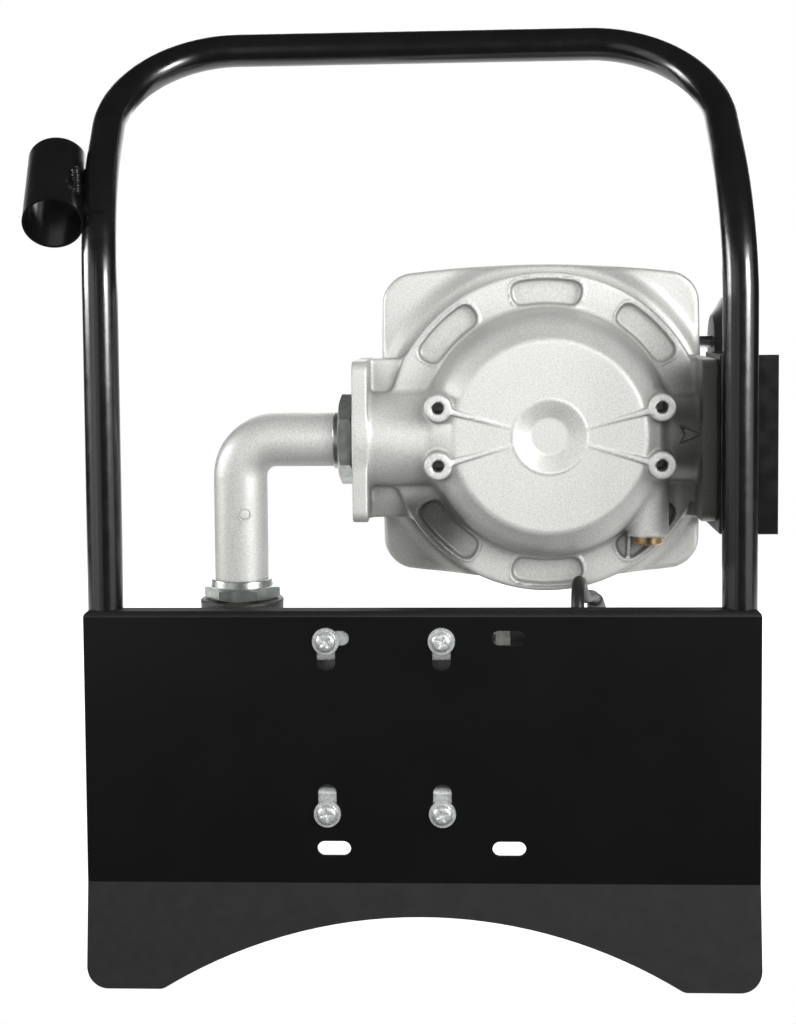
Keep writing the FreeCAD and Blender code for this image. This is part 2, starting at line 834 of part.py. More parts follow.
def make_fan_and_cowl():
    hub_x0 = 59.0
    hub_x1 = 73.0
    hub = shaft_turned([
        (hub_x0, shaft_radius),
        (hub_x0, fan_radius - 4),
        (hub_x0 + 2, fan_radius - 4),
        (hub_x0 + 3, 13),
        (hub_x1, 12),
        (hub_x1, shaft_radius),
    ])
    blades = []
    for k in range(fan_blades):
        blade = block(hub_x0 + 0.5, hub_x1 - 1, 11.0, fan_radius, -1.0, 1.0)
        blade.rotate(V(0, 0, 0), X_AXIS, 360.0 * k / fan_blades)
        blade.translate(shaft_base)
        blades.append(blade)
    keep("cooling_fan", hub.fuse(blades))

    start = shell_x1 + shield_t - 2
    outer = fin_radius
    cowl = shaft_turned([
        (start, outer - cowl_wall),
        (start, outer),
        (cowl_x1, outer),
        (cowl_x1, 0),
        (cowl_x1 - cowl_wall, 0),
        (cowl_x1 - cowl_wall, outer - cowl_wall),
    ], [0, 0, 8, 0, 0, 8 - cowl_wall])
    lip = shaft_turned([
        (start, motor_shell_radius - 6),
        (start, outer),
        (start + cowl_wall, outer),
        (start + cowl_wall, motor_shell_radius - 6),
    ])
    cowl = cowl.fuse(lip)
    cutters = []
    for ring, count in ((14, 8), (24, 12), (34, 16)):
        for k in range(count):
            cutter = slot(V(cowl_x1, 0, ring), 4.0, 2.2, Z_AXIS, X_AXIS * 10)
            cutter.rotate(V(0, 0, 0), X_AXIS, 360.0 * k / count)
            cutter.translate(shaft_base)
            cutters.append(cutter)
    screw_places = around(shaft_point(start), motor_shell_radius - 3, 3, 90)
    cutters += [rod(p - X_AXIS, p + X_AXIS * 3, 1.8) for p in screw_places]
    keep("fan_cowl", cowl.cut(cutters))


def rail_bolt_places():
    return [(x, sign) for x in (-44.0, 0.0) for sign in (1, -1)]


def make_foot_rails():
    rails = []
    bolts = []
    for sign in (1, -1):
        inner = shaft_z + sign * rail_half_gap
        outer = inner + sign * rail_flange
        points = [
            V(rail_x0, plate_t, outer),
            V(rail_x0, plate_t, inner),
            V(rail_x0, rail_web_end, inner),
            V(rail_x0, rail_web_end, inner + sign * rail_t),
            V(rail_x0, plate_t + rail_t, inner + sign * rail_t),
            V(rail_x0, plate_t + rail_t, outer),
        ]
        rail = prism(points, X_AXIS * (rail_x1 - rail_x0), [0, 3.5, 0, 0, 0.5, 0])
        z = screw_high_z if sign > 0 else screw_low_z
        holes = [rod(V(x, 0, z), V(x, 20, z), screw_radius + 0.2) for x in screw_x]
        for x, side in rail_bolt_places():
            if side == sign:
                seat = V(x, 24, inner + sign * rail_t)
                holes.append(rod(seat - Z_AXIS * (sign * 6), seat + Z_AXIS * sign, 2.7))
                head = hexagon(seat, seat + Z_AXIS * (sign * 3.6), 8.0, 0.5)
                bolts.append(head.fuse(rod(seat - Z_AXIS * (sign * 12), seat, 2.5)))
        rails.append(rail.cut(holes))
    keep("foot_rails", *rails)
    keep("hex_bolts", *bolts)

    screws = []
    washers = []
    nuts = []
    washer_t = 1.6
    for x in screw_x:
        for z in (screw_high_z, screw_low_z):
            base = V(x, 0, z)
            washers.append(sleeve(base - Y_AXIS * washer_t, base, 8.0, screw_radius + 0.2))
            screws.append(pan_screw(base - Y_AXIS * washer_t))
            start = base + Y_AXIS * (plate_t + rail_t)
            nut = hexagon(start, start + Y_AXIS * 5, 10.0, 0.7)
            nuts.append(nut.cut(rod(start - Y_AXIS, start + Y_AXIS * 6, screw_radius)))
    keep("mounting_screws", *screws)
    keep("mounting_washers", *washers)
    keep("mounting_nuts", *nuts)


def pan_screw(seat):
    """M6 pan head screw with a cross recess, its head facing -Y."""
    profile = [
        (-3.8, 0),
        (-3.8, 3.5),
        (-2.4, 6.1),
        (0, 6.1),
        (0, screw_radius),
        (16, screw_radius),
        (16, 0),
    ]
    screw = turned(profile, seat, Y_AXIS, X_AXIS, [0, 1.5, 2.0, 0.4, 0, 0, 0])
    arms = [slot(seat - Y_AXIS * 3.6, 3.0, 0.7, along, Y_AXIS * 4.0) for along in (X_AXIS, Z_AXIS)]
    return screw.cut(arms)


def hollow_box(x0, x1, y0, y1, z0, z1, wall, corner):
    """A moulded box open towards +Y, with rounded outer corners."""
    shell = block(x0, x1, y0, y1, z0, z1)
    shell = fillet_where(shell, corner, lambda edge: runs_along(edge, Y_AXIS))
    inside = block(x0 + wall, x1 - wall, y0 + wall, y1 + 1, z0 + wall, z1 - wall)
    inside = fillet_where(inside, corner - wall, lambda edge: runs_along(edge, Y_AXIS))
    return shell.cut(inside)


def flat_lid(x0, x1, y0, z0, z1, corner):
    lid = block(x0, x1, y0, y0 + lid_t, z0, z1)
    lid = fillet_where(lid, corner, lambda edge: runs_along(edge, Y_AXIS))
    front = y0 + lid_t
    return fillet_where(lid, 1.2, lambda edge: all(abs(v.Point.y - front) < 1e-6 for v in edge.Vertexes))


def corner_places(x0, x1, z0, z1, inset):
    return [(x, z) for x in (x0 + inset, x1 - inset) for z in (z0 + inset, z1 - inset)]


def make_terminal_box():
    box = hollow_box(terminal_x0, terminal_x1, terminal_y0, terminal_y1, terminal_z0, terminal_z1, box_wall, 6.0)
    posts = corner_places(terminal_x0, terminal_x1, terminal_z0, terminal_z1, 7.0)
    lowest = terminal_y0 + box_wall
    box = box.fuse([rod(V(x, lowest, z), V(x, terminal_y1, z), 4.0) for x, z in posts])
    boot_base, boot_axis = boot_line()
    collar = rod(boot_base - boot_axis * 2, boot_base + boot_axis * 6, 8.5)
    roof = block(terminal_x0, terminal_x1, terminal_y0, terminal_y1, terminal_z1 - box_wall, terminal_z1 + 20)
    box = box.fuse(collar.common(roof))
    reach = boot_axis * 20
    box = box.cut([rod(boot_base - reach, boot_base + reach, lead_radius + 0.1)])
    box = box.cut([rod(V(x, terminal_y1 - 14, z), V(x, terminal_y1 + 1, z), 1.6) for x, z in posts])
    keep("terminal_box", box)

    lid = flat_lid(terminal_x0, terminal_x1, terminal_y1, terminal_z0, terminal_z1, 6.0)
    lid = lid.cut([rod(V(x, terminal_y1 - 1, z), V(x, terminal_y1 + 5, z), 1.8) for x, z in posts])
    keep("terminal_lid", lid)
    seats = [V(x, terminal_y1 + lid_t, z) for x, z in posts]
    keep("box_screws", *[socket_screw(p, Y_AXIS * -1, 1.6, 14, 2.9, 2.2) for p in seats])
    cap_y = terminal_y0 + box_wall + 14.2
    start = V(terminal_x0 + 16, cap_y, terminal_z0 + 22)
    can = rod(start, start + X_AXIS * 62, 14.0)
    keep("run_capacitor", fillet_where(can, 1.5, lambda edge: isinstance(edge.Curve, Part.Circle)))


def boot_line():
    """Where the lead leaves the roof of the terminal box, and its direction there."""
    start = V(*lead_route[0])
    axis = V(*lead_route[1]) - start
    axis.normalize()
    base = start + axis * ((terminal_z1 - start.z) / axis.z)
    return base, axis


def lead_path():
    """The lead's line, where each arc is as large as its two runs allow."""
    points = [V(*p) for p in lead_route]
    radii = [0]
    for i in range(1, len(points) - 1):
        before = points[i] - points[i - 1]
        after = points[i + 1] - points[i]
        radii.append(0.45 * min(before.Length, after.Length) / math.tan(before.getAngle(after) / 2))
    radii.append(0)
    return points, radii


def place_on(edges, distance):
    """The point and the direction at a distance along a row of edges."""
    for edge in edges:
        if distance <= edge.Length:
            at = edge.getParameterByLength(distance)
            return edge.valueAt(at), edge.tangentAt(at)
        distance -= edge.Length


def make_lead():
    points, radii = lead_path()
    path = rounded_path(points, radii)
    length = sum(edge.Length for edge in path.Edges)
    lead = pipe(points, radii, lead_radius)
    print("lead bend radii:", [round(r, 1) for r in radii[1:-1]])
    print("lead length", round(length, 1), "volume ratio", round(lead.Volume / (math.pi * lead_radius**2 * length), 4))
    keep("motor_lead", lead)
    passage = pipe(points, radii, lead_radius + 0.05)

    boot_base, _ = boot_line()
    boot_start = (boot_base - points[0]).Length + 6.0
    rings = []
    for share in (0.0, 0.35, 0.7, 1.0):
        spot, direction = place_on(path.Edges, boot_start + boot_length * share)
        radius = boot_base_radius + (boot_tip_radius - boot_base_radius) * share
        rings.append(Part.Wire([Part.makeCircle(radius, spot, direction)]))
    keep("lead_boot", Part.makeLoft(rings, True, False).cut(passage))

    foot = V(*lead_route[-1])
    axis = foot - V(*lead_route[-2])
    axis.normalize()
    top = foot - axis * 2
    base = V(foot.x, foot.y, switch_z1)
    nut = hexagon(base, base + Z_AXIS * 7, 16.0)
    dome = turned([(7, 0), (7, 7.0), (14, 5.6), (14, 0)], base, Z_AXIS, X_AXIS, [0, 0, 2, 0])
    exit_hole = rod(top, top - Z_AXIS * 30, lead_radius + 0.05)
    keep("cable_glands", nut.fuse(dome).cut([passage, exit_hole]))


def make_switch_box():
    box = hollow_box(switch_x0, switch_x1, plate_t, switch_y1, switch_z0, switch_z1, box_wall, 5.0)
    foot = lead_route[-1]
    box = box.cut(rod(V(foot[0], foot[1], switch_z1 - 6), V(foot[0], foot[1], switch_z1 + 1), lead_radius + 0.05))
    studs = corner_places(switch_x0, switch_x1, switch_z0, switch_z1, 13.0)
    stud_places = [studs[1], studs[2]]
    box = box.cut([rod(V(x, 0, z), V(x, 9, z), 2.2) for x, z in stud_places])
    posts = corner_places(switch_x0, switch_x1, switch_z0, switch_z1, 5.0)[0::3]
    box = box.fuse([rod(V(x, plate_t + 1, z), V(x, switch_y1, z), 3.2) for x, z in posts])
    box = box.cut([rod(V(x, switch_y1 - 12, z), V(x, switch_y1 + 1, z), 1.5) for x, z in posts])
    supply = V(supply_x, supply_y, switch_z0)
    box = box.cut(rod(supply - Z_AXIS, supply + Z_AXIS * 6, 5.0))
    keep("switch_box", box)

    lid = flat_lid(switch_x0, switch_x1, switch_y1, switch_z0, switch_z1, 5.0)
    rocker_x, rocker_z = rocker_center
    half = rocker_width / 2
    front = switch_y1 + lid_t
    bezel = block(rocker_x - half - 2.3, rocker_x + half + 2.3, front, front + 1.4, rocker_z - 17, rocker_z + 17)
    bezel = fillet_where(bezel, 2.0, lambda edge: runs_along(edge, Y_AXIS))
    button_x, button_z = button_center
    collar = rod(V(button_x, switch_y1 - 16, button_z), V(button_x, front + 1.5, button_z), 8.0)
    lid = lid.fuse([bezel, collar])
    cuts = [block(rocker_x - half - 0.3, rocker_x + half + 0.3, 30, 60, rocker_z - 14.6, rocker_z + 14.6)]
    cuts.append(rod(V(button_x, switch_y1 - 9, button_z), V(button_x, front + 3, button_z), button_radius + 0.08))
    cuts += [rod(V(x, switch_y1 - 1, z), V(x, front + 1, z), 1.7) for x, z in posts]
    keep("switch_lid", lid.cut(cuts))
    seats = [V(x, front, z) for x, z in posts]
    keep("box_screws", *[socket_screw(p, Y_AXIS * -1, 1.5, 12, 2.7, 2.0) for p in seats])

    side = [(-7, -9), (3.9, -rocker_half_height), (1.7, 0), (3.9, rocker_half_height), (-7, 9)]
    points = [V(rocker_x - half, front + y, rocker_z + z) for y, z in side]
    rocker = prism(points, X_AXIS * rocker_width, [1, 1, 9, 1, 1])
    rocker.rotate(V(rocker_x, front, rocker_z), X_AXIS, -rocker_swing)
    keep("rocker_switch", rocker)
    button = rod(V(button_x, switch_y1 - 5, button_z), V(button_x, front + 4.5, button_z), button_radius)
    top_edge = front + 4.5
    keep("breaker_button", fillet_where(button, 1.2, lambda edge: abs(edge.CenterOfMass.y - top_edge) < 1e-6))

    nut = hexagon(supply, supply - Z_AXIS * 7, 17.0)
    dome = turned([(7, 0), (7, 7.2), (15, 6.0), (15, 0)], supply, Z_AXIS * -1, X_AXIS, [0, 0, 2, 0])
    keep("cable_glands", nut.fuse(dome).cut(rod(supply + Z_AXIS, supply - Z_AXIS * 20, 4.0)))
    fixings = []
    for x, z in stud_places:
        stud = rod(V(x, plate_t, z), V(x, plate_t + 9, z), 2.0)
        fixings.append(stud.fuse(hexagon(V(x, plate_t + box_wall, z), V(x, plate_t + box_wall + 3.2, z), 7.0, 0.4)))
    keep("hex_bolts", *fixings)


def make_elbow():
    spigot_in = 15.0
    low = V(port_x, shaft_y, outlet_boss_top)
    corner = V(port_x, shaft_y, port_z)
    far = V(flange_in_x, shaft_y, port_z)
    outer = pipe([low, corner, far], [0, elbow_bend_radius, 0], elbow_radius)
    spigots = [
        rod(low - Z_AXIS * spigot_in, low + Z_AXIS * 5, spigot_radius),
        rod(far - X_AXIS * 5, far + X_AXIS * spigot_in, spigot_radius),
    ]
    path = [low - Z_AXIS * (spigot_in + 1), corner, far + X_AXIS * (spigot_in + 1)]
    body = outer.fuse(spigots).cut(pipe(path, [0, elbow_bend_radius, 0], elbow_bore))
    mark = V(port_x - 2.0, shaft_y - elbow_radius - 1, 272.5)
    keep("elbow", body.cut(rod(mark, mark + Y_AXIS * 1.5, 3.7)))

    upper = nut_with_collar(far, X_AXIS * -1, nut_across_flats, nut_t, collar_radius, collar_t)
    lower = nut_with_collar(low, Z_AXIS, lower_nut_across_flats, lower_nut_t, collar_radius + 0.6, collar_t + 1)
    keep("union_nuts", upper, lower)


def nut_with_collar(seat, away, across_flats, thickness, radius, collar):
    end = seat + away * thickness
    side = Z_AXIS if abs(away.z) < 0.5 else X_AXIS
    ring = turned([(thickness, 0), (thickness, radius), (thickness + collar, radius - 0.6), (thickness + collar, 0)],
                  seat, away, side, [0, 0, 0.8, 0])
    nut = hexagon(seat, end, across_flats, 1.6).fuse(ring)
    return nut.cut(rod(seat - away, seat + away * (thickness + collar + 1), elbow_radius + 0.05))


def case_outline(y0, y1, inset=0.0):
    """The crowned square of the register case between two depths."""
    w = case_half_width - inset
    h = case_half_height - inset
    low_h = h - case_crown_top
    low_w = w - case_crown_side
    corners = [case_point(sx * low_w, y0, sz * low_h) for sx, sz in ((-1, -1), (1, -1), (1, 1), (-1, 1))]
    middles = [case_point(0, y0, -h), case_point(w, y0, 0), case_point(0, y0, h), case_point(-w, y0, 0)]
    edges = [Part.Arc(corners[k], middles[k], corners[(k + 1) % 4]).toShape() for k in range(4)]
    solid = Part.Face(Part.Wire(edges)).extrude(Y_AXIS * (y1 - y0))
    return fillet_where(solid, case_corner_radius - inset * 0.5, lambda edge: runs_along(edge, Y_AXIS))


def pocket_cutter(angle):
    """One lightening pocket: a rounded sector of the ring behind the dome."""
    half = math.radians(pocket_angle / 2)

    def spot(radius, turn):
        return meter_point(radius * math.sin(turn), ring_y - 1, radius * math.cos(turn))

    outer = Part.Arc(spot(pocket_outer, -half), spot(pocket_outer, 0), spot(pocket_outer, half)).toShape()
    inner = Part.Arc(spot(pocket_inner, half), spot(pocket_inner, 0), spot(pocket_inner, -half)).toShape()
    right = Part.LineSegment(spot(pocket_outer, half), spot(pocket_inner, half)).toShape()
    left = Part.LineSegment(spot(pocket_inner, -half), spot(pocket_outer, -half)).toShape()
    cutter = Part.Face(Part.Wire([outer, right, inner, left])).extrude(Y_AXIS * (pocket_depth + 1))
    cutter = fillet_where(cutter, 4.0, lambda edge: runs_along(edge, Y_AXIS))
    cutter.rotate(meter_point(0, 0, 0), Y_AXIS, angle)
    return cutter


def dome_rib(ear, end):
    """A thin rib that runs from a mounting ear and dies out on the dome's face."""
    run = end - ear
    run.y = 0
    length = run.Length
    run.normalize()
    across = run.cross(Y_AXIS)
    half = 1.3
    start = V(ear.x, 0, ear.z)
    side = [(5.0, ear_y + 0.9), (length, dome_y - 0.1), (length, dome_y + 3), (5.0, dome_y + 18)]
    points = [start + run * s + Y_AXIS * y - across * half for s, y in side]
    return prism(points, across * (2 * half))


def make_meter_body():
    profile = [
        (dome_y + recess_depth, 0),
        (dome_y + recess_depth, recess_floor_radius),
        (dome_y, recess_radius),
        (dome_y, dome_face_radius),
        (dome_edge_y, dome_edge_radius),
        (ring_y, dome_base_radius),
        (ring_y, ring_radius - ring_chamfer),
        (ring_y + ring_chamfer, ring_radius),
        (body_front_y, ring_radius),
        (body_front_y, 0),
    ]
    body = meter_turned(profile, [0, 1.0, 3.0, 5.0, 8.0, 1.0, 1.5, 1.5, 0, 0])

    def port(x):
        return V(x, shaft_y, port_z)

    parts = [
        rod(port(flange_in_x + 2), port(meter_x - 40), neck_in_radius),
        rod(port(meter_x + 40), port(flange_out_x - 2), neck_out_radius),
    ]
    z0 = port_z - flange_half_height
    z1 = port_z + flange_half_height
    parts.append(block(flange_in_x + flange_t - 1, meter_x - web_inner_dx, web_block_y, body_front_y, z0, z1))
    parts.append(block(meter_x + web_inner_dx, flange_out_x - flange_t + 1, web_block_y, body_front_y, z0, z1))
    for x0, x1 in ((flange_in_x, flange_in_x + flange_t), (flange_out_x - flange_t, flange_out_x)):
        flange = block(x0, x1, flange_y0, body_front_y, z0, z1)
        near = [e for e in flange.Edges if runs_along(e, X_AXIS) and e.Vertexes[0].Point.y < flange_y0 + 1]
        parts.append(flange.makeFillet(6.0, near))
    ears = [meter_point(sx * ear_dx, ear_y, sz * ear_dz) for sx in (-1, 1) for sz in (-1, 1)]
    for ear in ears:
        parts.append(turned([(0, 0), (0, ear_radius), (26, ear_radius + 0.8), (26, 0)], ear, Y_AXIS, X_AXIS, [0, 1.2, 0, 0]))
        sx = 1 if ear.x > meter_x else -1
        sz = 1 if ear.z > meter_z else -1
        parts.append(dome_rib(ear, meter_point(sx * 25.0, 0, sz * 6.0)))
    boss_top = V(plug_boss_x, plug_boss_y, port_z - 18)
    parts.append(rod(V(plug_boss_x, plug_boss_y, plug_boss_z), boss_top, plug_boss_radius))
    parts.append(block(plug_boss_x - 11, plug_boss_x + 11, plug_boss_y, ring_y + 5, plug_boss_z + 4, port_z - 18))
    body = body.fuse(parts)

    cuts = [
        rod(meter_point(0, dome_y + 10, 0), meter_point(0, body_front_y + 1, 0), cavity_radius),
        rod(meter_point(0, 80, 0), meter_point(0, body_front_y + 1, 0), cavity_radius + 2),
        rod(port(flange_in_x - 1), port(flange_in_x + 17), port_bore),
        rod(port(flange_out_x + 1), port(flange_out_x - 17), port_bore),
        rod(port(flange_in_x), port(meter_x - 50), elbow_bore),
        rod(port(flange_out_x), port(meter_x + 50), elbow_bore),
        sleeve(meter_point(0, body_front_y - seal_depth, 0), meter_point(0, body_front_y + 1, 0), seal_outer, seal_inner),
        rod(V(plug_boss_x, plug_boss_y, plug_boss_z - 1), V(plug_boss_x, plug_boss_y, plug_boss_z + 12), 8.0),
    ]
    cuts += [pocket_cutter(angle) for angle in (0, 45, 135, 180, 225, 315)]
    cuts += [rod(ear - Y_AXIS, ear + Y_AXIS * 16, ear_hole_radius) for ear in ears]
    cuts += [rod(p - X_AXIS * 11, p + X_AXIS, screw_radius) for p in flange_bolt_points(flange_out_x)]
    cuts += [rod(p - Y_AXIS * 13, p + Y_AXIS, 2.5) for p in meter_bolt_points(body_front_y)]
    keep("meter_body", body.cut(cuts))

    seal_start = meter_point(0, body_front_y - seal_depth, 0)
    seal = sleeve(seal_start, meter_point(0, body_front_y, 0), seal_outer - 0.1, seal_inner + 0.1)
    keep("meter_seal", seal)
    plug_base = V(plug_boss_x, plug_boss_y, plug_boss_z)
    plug = turned([(-5, 0), (-5, 9.0), (0, 9.0), (0, 7.95), (11, 7.95), (11, 0)], plug_base, Z_AXIS, X_AXIS, [0, 0.8, 0, 0, 0, 0])
    keep("calibration_plug", plug.cut(hexagon(plug_base - Z_AXIS * 6, plug_base - Z_AXIS, 7.0, 0.01)))


def meter_bolt_points(y):
    return around(meter_point(0, y, 0), 76.0, 6, 30, "y")


def make_measuring_chamber():
    seat = disc_hub_gap()
    lower = meter_turned([
        (chamber_y, chamber_bore),
        (chamber_y, chamber_outer),
        (chamber_low_y, chamber_outer),
        (chamber_low_y, seat[1]),
        (seat[0], seat[1]),
        (seat[0], chamber_seat_outer),
        (chamber_floor_y, chamber_seat_outer),
        (chamber_floor_y, chamber_bore),
    ])
    upper = meter_turned([
        (chamber_y, chamber_bore),
        (chamber_y, chamber_outer),
        (chamber_rim_y, chamber_outer),
        (chamber_rim_y, chamber_rim_radius),
        (chamber_top_y, chamber_rim_radius),
        (chamber_top_y, chamber_rim_bore),
        (chamber_roof_y, chamber_rim_bore),
        (chamber_roof_y, chamber_seat_outer),
        (2 * chamber_y - seat[0], chamber_seat_outer),
        (2 * chamber_y - seat[0], seat[1]),
        (chamber_neck_y, seat[1]),
        (chamber_neck_y, chamber_bore),
    ])
    keep("measuring_chamber", lower, upper)


def disc_hub_gap():
    """Depth and bore of the ring seat that carries the disc's ball."""
    return 50.2, 6.25


def make_meter_disc():
    center = meter_point(0, chamber_y, 0)
    tilt = math.radians(disc_tilt)
    axis = V(0, math.cos(tilt), math.sin(tilt))
    plate = rod(center - axis, center + axis, disc_radius)
    ball = Part.makeSphere(9.0, center)
    pin = rod(center, center + axis * 24, 2.0)
    keep("meter_disc", plate.fuse([ball, pin]))

    wall_y = body_front_y
    arm_y = wall_y - 7.0
    profile = [
        (arm_y, 0),
        (arm_y, 9),
        (arm_y + 3, 9),
        (arm_y + 3, 4.95),
        (back_wall_y + 4, 4.95),
        (back_wall_y + 4, 9.5),
        (back_wall_y + 9, 9.5),
        (back_wall_y + 9, 0),
    ]
    spindle = meter_turned(profile)
    teeth = []
    for k in range(12):
        cutter = block(8.2, 11, back_wall_y + 3, back_wall_y + 10, -0.9, 0.9)
        cutter.rotate(V(0, 0, 0), Y_AXIS, 30.0 * k)
        cutter.translate(meter_point(0, 0, 0))
        teeth.append(cutter)
    keep("drive_spindle", spindle.cut(teeth))


def make_register():
    case = case_outline(case_back_y, case_front_y)
    pad = case_outline(body_front_y, case_back_y).common(
        rod(meter_point(0, body_front_y, 0), meter_point(0, case_back_y, 0), step_radius))
    case = case.fuse(pad)
    screw_places = [case_point(sx * 82, case_front_y, sz * 79) for sx in (-1, 1) for sz in (-1, 1)]
    cuts = [
        rod(case_point(0, back_wall_y, 0), case_point(0, case_front_y + 1, 0), drum_cavity_radius),
        rod(meter_point(0, body_front_y - 1, 0), meter_point(0, back_wall_y + 1, 0), 5.0),
        rod(V(case_x, drum_y, drum_z), V(case_x + 120, drum_y, drum_z), drum_shaft_radius + running_gap),
    ]
    cuts += [rod(p - Y_AXIS * 20, p + Y_AXIS, 2.1) for p in screw_places]
    cuts += [rod(p, p + Y_AXIS * 20, 2.7) for p in meter_bolt_points(body_front_y - 1)]
    keep("register_case", case.cut(cuts))
    seats = meter_bolt_points(back_wall_y)
    keep("meter_screws", *[socket_screw(p, Y_AXIS * -1, 2.5, 24, 4.2, 4.5) for p in seats])

    dial = rod(case_point(0, case_front_y, 0), case_point(0, case_front_y + dial_t, 0), dial_radius)
    half_window = 1.5 * drum_pitch + 1.5
    window = block(case_x - half_window, case_x + half_window, case_front_y - 1, case_front_y + 5, drum_z - 13, drum_z + 13)
    window = fillet_where(window, 2.0, lambda edge: runs_along(edge, Y_AXIS))
    keep("dial_plate", dial.cut(window))
    glass_y = case_front_y + dial_t
    keep("dial_glass", rod(case_point(0, glass_y, 0), case_point(0, glass_y + glass_t, 0), dial_radius))

    front = case_front_y + cover_t_y
    cover = case_outline(case_front_y, front)
    cover = cover.makeChamfer(2.5, [e for e in cover.Edges if all(abs(v.Point.y - front) < 1e-6 for v in e.Vertexes)])
    ledge = glass_y + glass_t
    bore = turned([
        (case_front_y - 1, 0),
        (case_front_y - 1, dial_radius + 0.3),
        (ledge, dial_radius + 0.3),
        (ledge, view_radius),
        (front + 0.1, view_radius + 5),
        (front + 0.1, 0),
    ], case_point(0, 0, 0), Y_AXIS, X_AXIS)
    cuts = [bore]
    for p in screw_places:
        cuts.append(rod(p - Y_AXIS, p + Y_AXIS * 20, 2.4))
        cuts.append(rod(p + Y_AXIS * (cover_t_y - 4.5), p + Y_AXIS * 20, 4.5))
    keep("register_cover", cover.cut(cuts))
    seats = [p + Y_AXIS * (cover_t_y - 4.5) for p in screw_places]
    keep("meter_screws", *[socket_screw(p, Y_AXIS * -1, 2.1, 22, 4.0, 4.0) for p in seats])

    cheek_x = (case_x - 1.5 * drum_pitch - 3.5, case_x + 1.5 * drum_pitch + 1.5)
    frame = block(cheek_x[0], cheek_x[1] + 2, back_wall_y, back_wall_y + 2, drum_z - cheek_drop, drum_z + frame_rise)
    cheeks = [block(x, x + 2, back_wall_y, drum_y + 9, drum_z - cheek_drop, drum_z + 9) for x in cheek_x]
    frame = frame.fuse(cheeks)
    axis_start = V(cheek_x[0] - 5, drum_y, drum_z)
    keep("register_frame", frame.cut(rod(axis_start, axis_start + X_AXIS * 90, drum_shaft_radius + running_gap)))

    for k, name in enumerate(("hundreds_wheel", "tens_wheel", "units_wheel")):
        x = case_x + (k - 1) * drum_pitch
        start = V(x - drum_width / 2, drum_y, drum_z)
        drum = turned([
            (0, drum_shaft_radius + running_gap),
            (0, drum_radius),
            (drum_width, drum_radius),
            (drum_width, drum_radius - 3),
            (3, drum_radius - 3),
            (3, drum_shaft_radius + 3),
            (drum_width, drum_shaft_radius + 3),
            (drum_width, drum_shaft_radius + running_gap),
        ], start, X_AXIS, Z_AXIS)
        keep(name, drum)

    shaft_start = V(cheek_x[0] - 2, drum_y, drum_z)
    keep("wheel_shaft", rod(shaft_start, V(knob_x + 8, drum_y, drum_z), drum_shaft_radius))
    make_reset_knob()


def make_reset_knob():
    base = V(knob_x, drum_y, drum_z)
    knob = turned([
        (0, drum_shaft_radius),
        (0, 17.5),
        (3.5, 22.5),
        (6.5, knob_radius - 0.8),
        (8.5, knob_radius),
        (knob_length, knob_radius - 1.5),
        (knob_length, 0),
        (8, 0),
        (8, drum_shaft_radius),
    ], base, X_AXIS, Z_AXIS, [0, 1, 0, 0, 1, 2.5, 0, 0, 0])
    flutes = []
    for k in range(12):
        flute = rod(V(9.5, 0, knob_radius + 2.2), V(knob_length + 1, 0, knob_radius + 2.2), 4.2)
        flute.rotate(V(0, 0, 0), X_AXIS, 30.0 * k)
        flute.translate(base)
        flutes.append(flute)
    keep("reset_knob", knob.cut(flutes))


make_back_plate()
make_handle()
make_nozzle_holder()
make_outlet_bracket()
make_pump()
make_bypass_valve()
make_motor()
make_fan_and_cowl()
make_foot_rails()
make_terminal_box()
make_lead()
make_switch_box()
make_elbow()
make_meter_body()
make_measuring_chamber()
make_meter_disc()
make_register()

holder_center, holder_axis = holder_frame()
far_end = holder_center + holder_axis * (holder_length / 2)
left_x = far_end.x - holder_od / 2 * math.cos(math.radians(holder_splay))
front_y = foot_reach + cap_flange
toe_y = -bend_height * math.tan(math.radians(kick_angle))
origin = V((left_x + bracket_right_x) / 2, (toe_y + front_y) / 2, 0)

os.makedirs("parts", exist_ok=True)
for name, solids in pieces.items():
    shape = solids[0] if len(solids) == 1 else Part.makeCompound(solids)
    shape.translate(origin * -1)
    shape.exportStep("parts/" + name + ".step")
print(len(pieces), "pieces, origin moved by", [round(c, 3) for c in origin])
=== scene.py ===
# %% [markdown]
# A portable transfer pump, seen from the back of its carrying frame. The engineering
# model is loaded first and never changes. This notebook dresses it: it sets the camera and the
# studio, mixes one finish for each real material, and builds the castings and small forms that
# need a finer surface than the engineering model has.

# %% Load the frame
import json
import math
import bpy
import numpy as np
from mathutils import Matrix, Vector


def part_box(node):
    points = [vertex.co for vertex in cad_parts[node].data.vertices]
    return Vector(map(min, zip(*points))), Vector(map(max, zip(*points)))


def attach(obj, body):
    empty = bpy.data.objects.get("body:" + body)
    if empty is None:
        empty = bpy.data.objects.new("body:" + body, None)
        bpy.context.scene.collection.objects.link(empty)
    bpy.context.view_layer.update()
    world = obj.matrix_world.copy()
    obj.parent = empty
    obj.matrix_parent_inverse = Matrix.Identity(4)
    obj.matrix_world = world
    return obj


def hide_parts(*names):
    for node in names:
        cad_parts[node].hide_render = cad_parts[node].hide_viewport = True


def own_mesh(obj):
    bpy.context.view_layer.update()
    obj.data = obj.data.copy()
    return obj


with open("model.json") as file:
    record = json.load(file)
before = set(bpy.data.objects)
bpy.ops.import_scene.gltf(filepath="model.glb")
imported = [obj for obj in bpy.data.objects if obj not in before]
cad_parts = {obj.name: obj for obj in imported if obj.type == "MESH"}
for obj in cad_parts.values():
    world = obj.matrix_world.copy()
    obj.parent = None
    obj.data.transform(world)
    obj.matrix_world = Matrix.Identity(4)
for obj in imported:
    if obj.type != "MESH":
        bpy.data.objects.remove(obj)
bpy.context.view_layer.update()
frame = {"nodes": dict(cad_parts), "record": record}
nodes = frame["nodes"]
